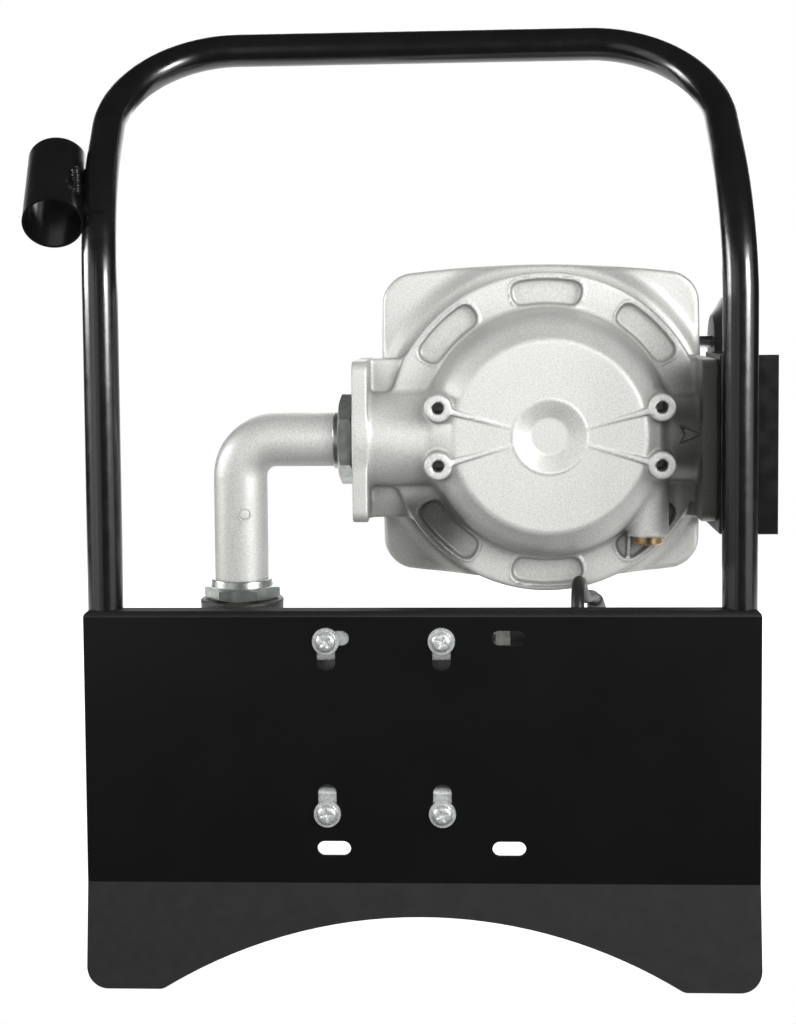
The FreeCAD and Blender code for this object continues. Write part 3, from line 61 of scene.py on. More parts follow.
print("frame loaded:", len(nodes), "pieces")

# %% [markdown]
# Every length on the drawing is in millimetres from the middle of the back plate's rear face.
# Blender wants metres from the middle of the footprint, so one small function turns the first
# into the second. It finds the plate from the frame, and so it never goes out of date.

# %% Places on the drawing
MM = 0.001
LIP_DEPTH = 14.0
plate_low, plate_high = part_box("back_plate")
PLATE_ORIGIN = np.array([
    (plate_low.x + plate_high.x) / 2,
    plate_high.y - LIP_DEPTH * MM,
    0.0,
])


def place(points):
    """Turns millimetres on the drawing into metres in the frame."""
    return np.asarray(points, float) * MM + PLATE_ORIGIN


print("plate's rear face is at y =", round(PLATE_ORIGIN[1], 4))

# %% [markdown]
# The photograph was taken from a little above the middle of the unit, almost square on, from
# about a metre away. So the camera stands there, turned two degrees and tipped down less than
# four. A small vertical shift keeps the legs nearly upright, as a view camera does. The roll
# is half a degree because the carrying frame itself leans a little in the picture.

# %% Camera
CAMERA_PLACE = (29.0, -1011.0, 408.0)
CAMERA_YAW = -2.32
CAMERA_PITCH = 3.61
CAMERA_ROLL = -0.46
FOCAL_PIXELS = 1735.0
PICTURE_HEIGHT = 1024.0
SENSOR_WIDTH = 36.0
SHIFT_Y = -0.10

yaw, pitch, roll = (math.radians(a) for a in (CAMERA_YAW, CAMERA_PITCH, CAMERA_ROLL))
ahead = Vector((math.sin(yaw) * math.cos(pitch), math.cos(yaw) * math.cos(pitch), -math.sin(pitch)))
level_right = Vector((math.cos(yaw), -math.sin(yaw), 0))
level_up = level_right.cross(ahead)
right = level_right * math.cos(roll) + level_up * math.sin(roll)
up = level_up * math.cos(roll) - level_right * math.sin(roll)

camera_data = bpy.data.cameras.new("camera")
camera_data.lens = SENSOR_WIDTH * FOCAL_PIXELS / PICTURE_HEIGHT
camera_data.sensor_width = SENSOR_WIDTH
camera_data.shift_y = SHIFT_Y
camera_data.clip_start = 0.05
camera_data.clip_end = 20.0
camera = bpy.data.objects.new("camera", camera_data)
camera.matrix_world = Matrix((
    (right.x, up.x, -ahead.x, 0),
    (right.y, up.y, -ahead.y, 0),
    (right.z, up.z, -ahead.z, 0),
    (0, 0, 0, 1),
))
camera.location = place(CAMERA_PLACE)
bpy.context.scene.collection.objects.link(camera)
bpy.context.scene.camera = camera
print("lens", round(camera_data.lens, 1), "mm")

# %% [markdown]
# A finish is a small graph of nodes. A few helpers cover what most of them need: a Principled
# shader with its plain numbers on its own sockets, a fine grain that tilts the surface, a soft
# drift of the colour or the gloss, and a painted shade that darkens the colour in deep corners.
# Patterns use Object coordinates, which are metres here, so a noise scale of 1000 gives grains
# of about a millimetre.

# %% Helpers for finishes
def principled(material):
    """The Principled shader of a material."""
    return material.node_tree.nodes["Principled BSDF"]


def finish(name, colour, roughness, metallic=0.0, **more):
    """A material with a Principled shader. More sockets are given by their names."""
    material = bpy.data.materials.new(name)
    material.use_nodes = True
    shader = principled(material)
    shader.inputs["Base Color"].default_value = (*colour, 1.0)
    shader.inputs["Roughness"].default_value = roughness
    shader.inputs["Metallic"].default_value = metallic
    for socket, value in more.items():
        shader.inputs[socket.replace("_", " ")].default_value = value
    return material


def combined(tree, operation, a, b):
    """A socket with two others combined, for example by MULTIPLY or MAXIMUM."""
    node = tree.nodes.new("ShaderNodeMath")
    node.operation = operation
    tree.links.new(a, node.inputs[0])
    tree.links.new(b, node.inputs[1])
    return node.outputs[0]


def between(tree, socket, low, high, value_low, value_high):
    """Maps a socket from one range to another and clamps it."""
    node = tree.nodes.new("ShaderNodeMapRange")
    limits = {"From Min": low, "From Max": high, "To Min": value_low, "To Max": value_high}
    for name, value in limits.items():
        node.inputs[name].default_value = value
    tree.links.new(socket, node.inputs["Value"])
    return node.outputs[0]


def noise(material, scale, detail=3.0, stretch=(1, 1, 1)):
    """A socket with noise from 0 to 1 on Object coordinates, optionally stretched."""
    tree = material.node_tree
    where = tree.nodes.new("ShaderNodeTexCoord")
    mapping = tree.nodes.new("ShaderNodeMapping")
    mapping.inputs["Scale"].default_value = stretch
    texture = tree.nodes.new("ShaderNodeTexNoise")
    texture.inputs["Scale"].default_value = scale
    texture.inputs["Detail"].default_value = detail
    tree.links.new(where.outputs["Object"], mapping.inputs["Vector"])
    tree.links.new(mapping.outputs["Vector"], texture.inputs["Vector"])
    return texture.outputs["Fac"]


def ramp(material, source, *stops):
    """A colour ramp between two (position, colour) stops, fed by a socket."""
    tree = material.node_tree
    node = tree.nodes.new("ShaderNodeValToRGB")
    for element, (position, colour) in zip(node.color_ramp.elements, stops):
        element.position = position
        element.color = (*colour, 1.0)
    tree.links.new(source, node.inputs["Fac"])
    return node.outputs["Color"]


def grain(material, layers):
    """Chains one bump node per (scale, depth in metres, detail) layer into the shader's normal."""
    tree = material.node_tree
    previous = None
    for scale, depth, detail in layers:
        bump = tree.nodes.new("ShaderNodeBump")
        bump.inputs["Strength"].default_value = 1.0
        bump.inputs["Distance"].default_value = depth
        tree.links.new(noise(material, scale, detail), bump.inputs["Height"])
        if previous is not None:
            tree.links.new(previous, bump.inputs["Normal"])
        previous = bump.outputs["Normal"]
    tree.links.new(previous, principled(material).inputs["Normal"])
    return material


def drift(material, low, high, scale, detail=3.0, span=(0.35, 0.65), stretch=(1, 1, 1)):
    """A socket that drifts between two colours with a noise."""
    source = noise(material, scale, detail, stretch)
    return ramp(material, source, (span[0], low), (span[1], high))


def mottle(material, low, high, scale, *more):
    """Lets the base colour drift between two colours. More goes on to the drift."""
    colour = drift(material, low, high, scale, *more)
    material.node_tree.links.new(colour, principled(material).inputs["Base Color"])


def patchy_gloss(material, low, high, scale):
    """Lets the roughness drift between two values."""
    value = drift(material, (low,) * 3, (high,) * 3, scale)
    material.node_tree.links.new(value, principled(material).inputs["Roughness"])


def darker_corners(material, reach, low, high, darkest):
    """Painted shade: multiplies the base colour down where the surface within reach, in metres,
    closes in.
    """
    tree = material.node_tree
    socket = principled(material).inputs["Base Color"]
    nearness = tree.nodes.new("ShaderNodeAmbientOcclusion")
    nearness.samples = 8
    nearness.inputs["Distance"].default_value = reach
    shade = ramp(material, nearness.outputs["AO"], (low, (darkest,) * 3), (high, (1.0,) * 3))
    mix = tree.nodes.new("ShaderNodeMix")
    mix.data_type = "RGBA"
    mix.blend_type = "MULTIPLY"
    mix.inputs["Factor"].default_value = 1.0
    tree.links.new(socket.links[0].from_socket, mix.inputs["A"])
    tree.links.new(shade, mix.inputs["B"])
    tree.links.new(mix.outputs["Result"], socket)


print("finish helpers ready")

# %% [markdown]
# Now the finishes, each mixed for one real material. The powder coat on the tube is a thick
# gloss black that has flowed level, so it only gets a faint orange peel. The plate wears a
# flatter coat. Where its foot leans back it is duller, and its colour is painted paler there as a
# painted sheen. The pump is cast iron under a wrinkled enamel. The meter is aluminium that was
# shot blasted after casting: light, matt and finely pitted, with painted shade darkening its
# corners. The rails, the washers and the heads of the mounting screws are new zinc, which is
# brighter than the zinc of the old nuts.

# %% Finishes
def gloss_powder_coat():
    coat = finish("gloss_powder_coat", (0.0065, 0.0066, 0.007), 0.22, Specular_IOR_Level=1.0)
    mottle(coat, (0.006, 0.0061, 0.0065), (0.0075, 0.0076, 0.008), 40.0)
    patchy_gloss(coat, 0.18, 0.25, 120.0)
    return grain(coat, [(300.0, 0.00001, 2.0), (1500.0, 0.000002, 2.0)])


def satin_powder_coat():
    """Duller where the plate leans back, with a painted sheen that pales it, less on upward bends.
    """
    coat = finish("satin_powder_coat", (0.0042, 0.0042, 0.0044), 0.3, Specular_IOR_Level=0.3)
    tree = coat.node_tree
    where = tree.nodes.new("ShaderNodeTexCoord")
    split = tree.nodes.new("ShaderNodeSeparateXYZ")
    tree.links.new(where.outputs["Normal"], split.inputs[0])
    # Painted sheen: the colour is made paler where the plate leans back, and less so on bends that
    # face up.
    leans_back = between(tree, split.outputs["Z"], 0.07, 0.12, 0.0, 1.0)
    fades_facing_up = between(tree, split.outputs["Z"], 0.2, 0.4, 1.0, 0.12)
    plain_coat = drift(coat, (0.0054,) * 3, (0.0062,) * 3, 25.0)
    painted_sheen = drift(coat, (0.0165,) * 3, (0.021,) * 3, 140.0, 4.0, (0.3, 0.7))
    mix = tree.nodes.new("ShaderNodeMix")
    mix.data_type = "RGBA"
    tree.links.new(combined(tree, "MULTIPLY", leans_back, fades_facing_up), mix.inputs["Factor"])
    tree.links.new(plain_coat, mix.inputs["A"])
    tree.links.new(painted_sheen, mix.inputs["B"])
    tree.links.new(mix.outputs["Result"], principled(coat).inputs["Base Color"])
    rough = between(tree, leans_back, 0.0, 1.0, 0.31, 0.75)
    tree.links.new(rough, principled(coat).inputs["Roughness"])
    return grain(coat, [(900.0, 0.000008, 2.0), (2600.0, 0.000003, 2.0)])


def wrinkle_enamel():
    enamel = finish("wrinkle_enamel", (0.03, 0.03, 0.028), 0.45, Specular_IOR_Level=0.55)
    mottle(enamel, (0.016, 0.016, 0.015), (0.055, 0.055, 0.051), 600.0)
    return grain(enamel, [(520.0, 0.0005, 3.0), (1500.0, 0.0002, 2.0)])


def blasted_aluminium():
    metal = finish("blasted_aluminium", (0.74, 0.735, 0.71), 0.52, 0.42, Specular_IOR_Level=0.4)
    mottle(metal, (0.6, 0.6, 0.575), (0.8, 0.797, 0.775), 1000.0, 4.0, (0.3, 0.7))
    # Painted shade: the colour is darkened where the surface closes in, in corners and pockets.
    darker_corners(metal, 0.022, 0.25, 0.9, 0.5)
    patchy_gloss(metal, 0.48, 0.58, 60.0)
    return grain(metal, [(330.0, 0.00002, 3.0), (1700.0, 0.00006, 3.0)])


def machined_aluminium():
    metal = finish("machined_aluminium", (0.66, 0.66, 0.65), 0.34, 0.95)
    mottle(metal, (0.58, 0.58, 0.57), (0.70, 0.70, 0.69), 30.0, 2.0, (0.3, 0.7), (60, 1, 1))
    return grain(metal, [(900.0, 0.000006, 2.0)])


def bright_zinc():
    metal = finish("bright_zinc", (0.5, 0.53, 0.51), 0.36, 0.9)
    mottle(metal, (0.43, 0.46, 0.44), (0.58, 0.61, 0.58), 180.0)
    patchy_gloss(metal, 0.3, 0.42, 350.0)
    return grain(metal, [(700.0, 0.000006, 2.0)])


def fresh_zinc():
    metal = finish("fresh_zinc", (0.82, 0.84, 0.83), 0.28, 0.6)
    mottle(metal, (0.7, 0.73, 0.72), (0.88, 0.9, 0.89), 400.0)
    patchy_gloss(metal, 0.25, 0.4, 500.0)
    return grain(metal, [(900.0, 0.000006, 2.0)])


def ground_steel():
    metal = finish("ground_steel", (0.5, 0.5, 0.51), 0.3, 1.0)
    mottle(metal, (0.42, 0.42, 0.43), (0.55, 0.55, 0.56), 60.0)
    return grain(metal, [(1200.0, 0.000004, 2.0)])


def turned_brass():
    metal = finish("turned_brass", (0.6, 0.42, 0.22), 0.32, 1.0)
    mottle(metal, (0.5, 0.34, 0.17), (0.68, 0.5, 0.29), 260.0)
    return grain(metal, [(1400.0, 0.000006, 2.0)])


def moulded(name, colour, roughness=0.45):
    """A moulded plastic with the fine erosion grain of its tool."""
    plastic = finish(name, colour, roughness)
    darker = tuple(c * 0.88 for c in colour)
    lighter = tuple(min(1.0, c * 1.12) for c in colour)
    mottle(plastic, darker, lighter, 60.0)
    return grain(plastic, [(1600.0, 0.00001, 2.0)])


def cable_rubber():
    rubber = finish("cable_rubber", (0.014, 0.014, 0.014), 0.42)
    mottle(rubber, (0.011, 0.011, 0.011), (0.02, 0.02, 0.02), 90.0)
    return grain(rubber, [(700.0, 0.00001, 2.0)])


def clear_glass():
    glass = finish("clear_glass", (0.9, 0.93, 0.93), 0.03, Alpha=0.14, Specular_IOR_Level=1.0)
    patchy_gloss(glass, 0.02, 0.03, 30.0)
    return glass


def enamelled_wire():
    wire = finish("enamelled_wire", (0.42, 0.16, 0.06), 0.32, 0.8)
    mottle(wire, (0.34, 0.12, 0.04), (0.5, 0.2, 0.08), 900.0)
    return grain(wire, [(1200.0, 0.0001, 1.0)])


FINISHES = {
    "black_paint": gloss_powder_coat(),
    "black_plate": satin_powder_coat(),
    "cast_iron_black": wrinkle_enamel(),
    "cast_aluminium": blasted_aluminium(),
    "machined_aluminium": machined_aluminium(),
    "zinc_plate": bright_zinc(),
    "steel": ground_steel(),
    "brass": turned_brass(),
    "black_plastic": moulded("black_plastic", (0.016, 0.016, 0.017), 0.38),
    "grey_plastic": moulded("grey_plastic", (0.2, 0.205, 0.21), 0.42),
    "white_plastic": moulded("white_plastic", (0.74, 0.74, 0.71), 0.4),
    "red_plastic": moulded("red_plastic", (0.5, 0.015, 0.012), 0.3),
    "rubber": cable_rubber(),
    "glass": clear_glass(),
    "copper": enamelled_wire(),
}
for entry in frame["record"]["subparts"]:
    piece = nodes[entry["node"]]
    piece.data.materials.clear()
    piece.data.materials.append(FINISHES[entry["material_slot"]])
new_zinc = fresh_zinc()
for name in ("mounting_screws", "mounting_washers", "foot_rails"):
    nodes[name].data.materials[0] = new_zinc
print(len(FINISHES), "finishes given to", len(nodes), "pieces")

# %% [markdown]
# New pieces come from numpy arrays. The first helper takes finished points and faces, puts
# them into a mesh in one go, shades it, and lets it ride on its body. A piece that stands for
# an engineering piece hides that one from the picture. The other three are small tools that
# more than one piece needs.

# %% Helpers for pieces
def show(name, points, faces, slot, body="frame", stands_for=(), sharp=35.0):
    """Makes a mesh piece from points in millimetres on the drawing."""
    mesh = bpy.data.meshes.new(name)
    mesh.from_pydata(place(points), [], faces)
    mesh.validate()
    mesh.shade_smooth()
    if sharp:
        mesh.set_sharp_from_angle(angle=math.radians(sharp))
    mesh.materials.append(FINISHES[slot])
    piece = bpy.data.objects.new(name, mesh)
    bpy.context.scene.collection.objects.link(piece)
    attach(piece, body)
    if stands_for:
        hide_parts(*stands_for)
    print(name, len(mesh.polygons), "faces")
    return piece


def grid_faces(rows, columns):
    """Quads between neighbours on a grid whose last column meets the first."""
    i, j = (a.ravel() for a in np.meshgrid(np.arange(rows - 1), np.arange(columns), indexing="ij"))
    row, next_row = i * columns, (i + 1) * columns
    next_j = (j + 1) % columns
    return np.stack([row + j, row + next_j, next_row + next_j, next_row + j], 1)


def joined(parts):
    """One set of points and one list of faces from several pairs of points and faces."""
    all_points, all_faces, count = [], [], 0
    for points, faces in parts:
        all_points.append(points)
        all_faces += [tuple(i + count for i in face) for face in faces]
        count += len(points)
    return np.concatenate(all_points), all_faces


def soft_step(value):
    """Rises smoothly from 0 to 1 while its value does."""
    value = np.clip(value, 0, 1)
    return value * value * (3 - 2 * value)


print("piece helpers ready")

# %% [markdown]
# The meter's body is one aluminium casting: every inner corner has a fillet, every outer edge
# is rounded, and no part looks stuck on. Modelling each fillet by hand would take long. Instead
# the casting is written as a distance field: a formula that says how far any point is from each
# simple form. Where two forms meet, a smooth minimum blends them, and that blend is the fillet.

# %% Distance fields
CELL = 1.28


def smooth_union(a, b, radius):
    """The nearer of two forms, with a fillet where they meet."""
    mix = np.clip(0.5 + 0.5 * (b - a) / radius, 0, 1)
    return b + (a - b) * mix - radius * mix * (1 - mix)


def smooth_inside(a, b, radius):
    """What two forms share, with its outer edge rounded."""
    return -smooth_union(-a, -b, radius)


def round_bar(across, along, low, high, radius, edge=1.0):
    """A cylinder from its distance off the axis, its length limits and an edge radius."""
    return smooth_inside(across - radius, np.maximum(low - along, along - high), edge)


def rounded_block(x, y, z, low, high, edge):
    """A block between two corners, with every edge rounded."""
    middle = [(a + b) / 2 for a, b in zip(low, high)]
    half = [(b - a) / 2 - edge for a, b in zip(low, high)]
    q = [np.abs(c - m) - h for c, m, h in zip((x, y, z), middle, half)]
    outside = np.sqrt(sum(np.maximum(c, 0) ** 2 for c in q))
    inside = np.minimum(np.maximum(np.maximum(q[0], q[1]), q[2]), 0)
    return outside + inside - edge


print("field cell", CELL, "mm")

# %% [markdown]
# A field is only numbers on a grid of cells. The surface passes through each cell whose corners
# differ in sign. One point goes into each such cell, at the mean of the places where the
# cell's edges cross zero, and each crossed edge joins its four cells with a quad. All of
# this is done on whole arrays, so no loop ever visits a single cell.

# %% From a field to a skin
CORNERS = [(a, b, c) for a in (0, 1) for b in (0, 1) for c in (0, 1)]
CELL_EDGES = [(p, q) for p in range(8) for q in range(p + 1, 8)
              if sum(abs(u - v) for u, v in zip(CORNERS[p], CORNERS[q])) == 1]
PROBE = 0.12
LEAST_SLOPE = 0.5


def skin(field, low, cell):
    """Points and quads where a field is zero. Points are the mean edge crossings of each cell."""
    size = [n - 1 for n in field.shape]
    windows = [field[a:a + size[0], b:b + size[1], c:c + size[2]] for a, b, c in CORNERS]
    count = sum((w < 0).astype(np.int8) for w in windows)
    crossed = (count > 0) & (count < 8)
    number = np.full(size, -1, np.int64)
    number[crossed] = np.arange(crossed.sum())
    values = [w[crossed] for w in windows]
    total = np.zeros((len(values[0]), 3))
    crossings = np.zeros(len(values[0]))
    for p, q in CELL_EDGES:
        a, b = values[p], values[q]
        cut = (a < 0) != (b < 0)
        share = np.where(cut, a / np.where(cut, a - b, 1), 0)[:, None]
        spot = np.array(CORNERS[p]) + (np.array(CORNERS[q]) - CORNERS[p]) * share
        total += spot * cut[:, None]
        crossings += cut
    points = (np.argwhere(crossed) + total / crossings[:, None]) * cell + np.array(low)

    quads = []
    for axis in range(3):
        first = [slice(1, -1)] * 3
        second = [slice(1, -1)] * 3
        first[axis] = slice(0, -1)
        second[axis] = slice(1, None)
        a, b = field[tuple(first)], field[tuple(second)]
        u, v = [k for k in range(3) if k != axis]
        for outward, mask in ((True, (a < 0) & (b >= 0)), (False, (a >= 0) & (b < 0))):
            base = np.argwhere(mask)
            base[:, u] += 1
            base[:, v] += 1
            ring = []
            for du, dv in ((-1, -1), (0, -1), (0, 0), (-1, 0)):
                cellwise = base.copy()
                cellwise[:, u] += du
                cellwise[:, v] += dv
                ring.append(number[tuple(cellwise.T)])
            if outward == (axis == 1):
                ring.reverse()
            quads.append(np.stack(ring, 1))
    return points, np.concatenate(quads)


def cast(name, formula, low, high, slot, stands_for, cell=CELL):
    """Samples a formula in a box and skins it, pulls each point onto the surface in three
    rounds of value over slope, and shades the skin by the slope."""
    margin = 2.5 * cell
    axes = [np.arange(a - margin, b + margin + cell, cell) for a, b in zip(low, high)]
    x, y, z = np.meshgrid(*axes, indexing="ij", sparse=True)
    field = np.broadcast_to(formula(x, y, z), [len(a) for a in axes])
    points, quads = skin(field, [a[0] for a in axes], cell)
    for _ in range(3):
        there = formula(*points.T)
        slope = np.stack([
            formula(*(points + reach).T) - formula(*(points - reach).T)
            for reach in PROBE * np.eye(3)
        ], 1) / (2 * PROBE)
        steep = np.maximum((slope ** 2).sum(1), LEAST_SLOPE ** 2)
        move = np.clip(there / steep, -0.5 * cell, 0.5 * cell)
        points = points - slope * move[:, None]
    piece = show(name, points, quads, slot, "frame", stands_for, sharp=0)
    normals = slope / np.sqrt((slope ** 2).sum(1))[:, None]
    piece.data.normals_split_custom_set_from_vertices(normals)


print("surface tools ready")

# %% [markdown]
# The meter body, form by form. The dome is a flat face and two cones, blended. Behind it lies
# the bolting ring with its six lightening pockets, and a port neck with a square flange leaves
# on each side. Four small ears stand on the dome's shoulder, and a thin rib runs from each ear
# and dies out on the face, to let the metal flow in the mould. A boss below the outlet holds
# the calibration plug.

# %% Meter body
METER_X = 77.5
METER_Z = 326.0
FACE_Y = 22.0
FACE_RADIUS = 58.0
LIP_RADIUS = 21.0
SHOULDER_Y = 35.0
SHOULDER_RADIUS = 72.0
RING_Y = 60.0
RING_RADIUS = 99.0
BACK_Y = 92.0
POCKET_ANGLES = (0, 45, 135, 180, 225, 315)
POCKET_HALF_ANGLE = 14.5
POCKET_RADII = (78.6, 94.6)
POCKET_FLOOR_Y = 65.5
EAR_DX = 66.6
EAR_DZ = 17.3
EAR_RADIUS = 8.4
EAR_HOLE_RADIUS = 3.5
RIB_END = (24.0, 5.6)
PORT_Y = 62.0
PORT_Z = 322.0
FLANGE_LOW = (34.0, 272.5)
FLANGE_HIGH = (98.0, 371.5)
PORT_BORES = ((-60.0, -24.5), (161.7, 190.0))
PORT_BORE_RADIUS = 15.2
PLUG_X = 138.6
PLUG_Y = 50.0
BODY_LOW = (-41.5, 20.0, 226.5)
BODY_HIGH = (178.7, 92.0, 425.5)


def dome_form(r, y):
    """A flat face, a cone from its rim to the shoulder and a steeper cone behind, all blended.
    A shallow dish with a thin lip lies in the middle."""
    face = FACE_Y - y
    shoulder = 0.681 * (r - FACE_RADIUS) - 0.733 * (y - FACE_Y)
    wall = 0.977 * (r - SHOULDER_RADIUS) - 0.215 * (y - SHOULDER_Y)
    form = smooth_inside(smooth_inside(shoulder, wall, 5.0), face, 1.6)
    lip = round_bar(np.abs(r - LIP_RADIUS), -y, -22.6, -21.55, 1.5, 0.8)
    form = smooth_union(form, lip, 1.2)
    dish = smooth_inside(0.41 * (r - 20.5) + 0.912 * (y - FACE_Y), y - 26.2, 0.4)
    return smooth_inside(np.maximum(form, y - 90.0), -dish, 1.2)


def ring_form(r, turn, y):
    """A disc with a rounded corner and six shallow pockets. A pocket is a band of radii cut
    by a band of angles, and a thin lip runs round it."""
    form = smooth_inside(r - RING_RADIUS, RING_Y - y, 3.0)
    for angle in POCKET_ANGLES:
        away = np.abs((turn - math.radians(angle) + math.pi) % (2 * math.pi) - math.pi)
        side = r * (away - math.radians(POCKET_HALF_ANGLE))
        radial = smooth_inside(POCKET_RADII[0] - r, r - POCKET_RADII[1], 5.0)
        opening = smooth_inside(radial, side, 8.0)
        pocket = smooth_inside(opening + 0.12 * (y - RING_Y), y - POCKET_FLOOR_Y, 1.6)
        lip = round_bar(np.abs(opening - 0.3), -y, -61.0, -59.3, 1.0, 0.7)
        form = smooth_inside(smooth_union(form, lip, 0.8), -pocket, 1.0)
    return np.maximum(form, y - BACK_Y)


def rib_form(x, y, z, sign_x, sign_z):
    """A wedge from an ear towards the centre that narrows and sinks as it goes."""
    start = np.array([EAR_DX, EAR_DZ])
    run = np.array(RIB_END) - start
    length = np.hypot(*run)
    dx = sign_x * (x - METER_X) - start[0]
    dz = sign_z * (z - METER_Z) - start[1]
    along = (dx * run[0] + dz * run[1]) / length
    across = np.abs(dx * run[1] - dz * run[0]) / length
    width = 2.2 - 1.7 * np.clip(along / length, 0, 1)
    top = 19.5 + 2.9 * np.clip(along / length, 0, 1) - y
    body = smooth_inside(across - width, top, 1.0)
    return np.maximum(np.maximum(body, -along), np.maximum(along - length, y - 45.0))


def port_form(x, y, z, start, end, flange, web_x, neck):
    """A round neck, its square flange with two round front corners, and the web behind it."""
    off_axis = np.hypot(y - PORT_Y, z - PORT_Z)
    pipe = round_bar(off_axis, x, start, end, neck, 1.0)
    plate = rounded_block(x, y, z, (flange[0], *FLANGE_LOW), (flange[1], *FLANGE_HIGH), 1.2)
    nose = np.hypot(np.minimum(y - 42.0, 0), np.maximum(np.abs(z - PORT_Z) - 41.5, 0)) - 8.0
    form = smooth_union(pipe, smooth_inside(plate, nose, 0.8), 4.0)
    low, high = (web_x[0], 67.0, FLANGE_LOW[1]), (web_x[1], *FLANGE_HIGH)
    return smooth_union(form, rounded_block(x, y, z, low, high, 1.5), 3.0)


def arrow_form(x, y, z):
    """A raised flow arrow on the outlet neck: a triangle with a notch, 1.5 mm proud."""
    outer = 0.4 * (x - 168.3) + 0.917 * (np.abs(z - METER_Z) - 0.2)
    notch = 0.87 * (x - 159.4) + 0.5 * np.abs(z - METER_Z)
    flat = smooth_inside(outer, -notch, 0.5)
    proud = np.hypot(y - PORT_Y, z - PORT_Z) - 28.1
    return smooth_inside(flat, np.maximum(proud, y - 50.0), 0.5)


def meter_form(x, y, z):
    """The whole casting: forms joined with fillets, then its holes taken away."""
    dx, dz = x - METER_X, z - METER_Z
    r = np.hypot(dx, dz)
    turn = np.arctan2(dx, dz)
    form = smooth_union(dome_form(r, y), ring_form(r, turn, y), 3.0)
    inlet = port_form(x, y, z, -39.5, METER_X - 40, (-41.5, -32.1), (-37.5, METER_X - 60), 28.8)
    outlet = port_form(x, y, z, METER_X + 40, 176.7, (169.3, 178.7), (METER_X + 60, 174.7), 26.6)
    form = smooth_union(smooth_union(form, inlet, 5.0), outlet, 5.0)
    form = smooth_union(form, arrow_form(x, y, z), 0.6)
    off_plug = np.hypot(x - PLUG_X, y - PLUG_Y)
    boss = round_bar(off_plug, z, 263.0, 306.0, 12.7, 1.0)
    block = rounded_block(x, y, z, (127.0, PLUG_Y, 266.0), (150.2, 70.0, 306.0), 1.5)
    form = smooth_union(form, smooth_union(boss, block, 1.0), 3.0)
    fin = np.maximum(np.abs(x - 127.6) - 1.1, 0.87 * (RING_Y - y) - 0.49 * (z - 249.0))
    form = smooth_union(form, np.maximum(fin, np.maximum(z - 268.0, y - 66.0)), 1.5)
    for sign_x in (-1, 1):
        for sign_z in (-1, 1):
            off = np.hypot(sign_x * dx - EAR_DX, sign_z * dz - EAR_DZ)
            ear = round_bar(off, y, 19.6, 48.0, EAR_RADIUS + 0.03 * (y - 20.0), 1.8)
            hole = round_bar(off, y, 10.0, 44.0, EAR_HOLE_RADIUS, 0.3)
            form = smooth_union(form, ear, 2.2)
            form = smooth_union(form, rib_form(x, y, z, sign_x, sign_z), 1.2)
            form = smooth_inside(form, -hole, 0.6)
    off_axis = np.hypot(y - PORT_Y, z - PORT_Z)
    bores = [round_bar(off_axis, x, *ends, PORT_BORE_RADIUS) for ends in PORT_BORES]
    seat = round_bar(off_plug, z, 255.0, 276.5, 8.1, 0.4)
    form = smooth_inside(form, -np.minimum(np.minimum(*bores), seat), 0.6)
    return np.maximum(form, y - BACK_Y)


cast("meter_casting", meter_form, BODY_LOW, BODY_HIGH, "cast_aluminium", ["meter_body"])

# %% [markdown]
# The handle and both legs are one bent tube. In the picture its loop leans a few millimetres to
# the left, as hand-bent loops do. So the visual tube follows the same centre line as the
# engineering one and then sways a little above the knees. A ring of points is carried along the
# line without twisting, and each neighbour pair of rings is joined with quads.

# %% Handle tube
TUBE_RADIUS = 10.5
LEG_X = 188.9
HANDLE_LINE = [
    ((-LEG_X, 196.0, 10.5), 0), ((-LEG_X, 13.2, 10.5), 50), ((-LEG_X, 13.2, 460.0), 125),
    ((-LEG_X, 121.3, 570.0), 76), ((LEG_X, 121.3, 570.0), 76), ((LEG_X, 13.2, 460.0), 125),
    ((LEG_X, 13.2, 10.5), 50), ((LEG_X, 196.0, 10.5), 0),
]
SWAY_START = 395.0
SWAY_HEIGHT = 175.0
SWAY_LEFT = 5.5
LIFT_MIDDLE = 0.8
LIFT_ARM = 190.0


def rounded_line(corners, step=4.0):
    """A line through corner points with an arc at each, cut into short steps."""
    points = [np.array(corners[0][0], float)]
    for k in range(1, len(corners) - 1):
        before, here, after = (np.array(corners[j][0], float) for j in (k - 1, k, k + 1))
        u = (before - here) / np.linalg.norm(before - here)
        v = (after - here) / np.linalg.norm(after - here)
        half = math.acos(float(np.clip(u @ v, -1, 1))) / 2
        radius = corners[k][1]
        centre = here + (u + v) / np.linalg.norm(u + v) * radius / math.sin(half)
        start, end = here + u * radius / math.tan(half), here + v * radius / math.tan(half)
        a, b = start - centre, end - centre
        sweep = math.pi - 2 * half
        for t in np.linspace(0, 1, max(3, int(radius * sweep / step))):
            arm = (a * math.sin((1 - t) * sweep) + b * math.sin(t * sweep)) / math.sin(sweep)
            points.append(centre + arm)
    points.append(np.array(corners[-1][0], float))
    return np.array(points)


def tube(line, radius, sides=40):
    """Rings of points round a line, carried along it without twisting, and closed ends."""
    ahead = np.gradient(line, axis=0)
    ahead /= np.linalg.norm(ahead, axis=1)[:, None]
    side = np.cross(ahead[0], (0.3, 0.2, 1.0))
    sides_along = []
    for direction in ahead:
        side = side - direction * (side @ direction)
        side /= np.linalg.norm(side)
        sides_along.append(side)
    side = np.array(sides_along)[:, None]
    other = np.cross(ahead[:, None], side)
    turn = np.linspace(0, 2 * math.pi, sides, endpoint=False)[None, :, None]
    rings = line[:, None] + radius * (side * np.cos(turn) + other * np.sin(turn))
    faces = [tuple(f) for f in grid_faces(len(line), sides)]
    first = tuple(range(sides))
    last = tuple(range((len(line) - 1) * sides, len(line) * sides))
    return rings.reshape(-1, 3), faces + [first[::-1], last]


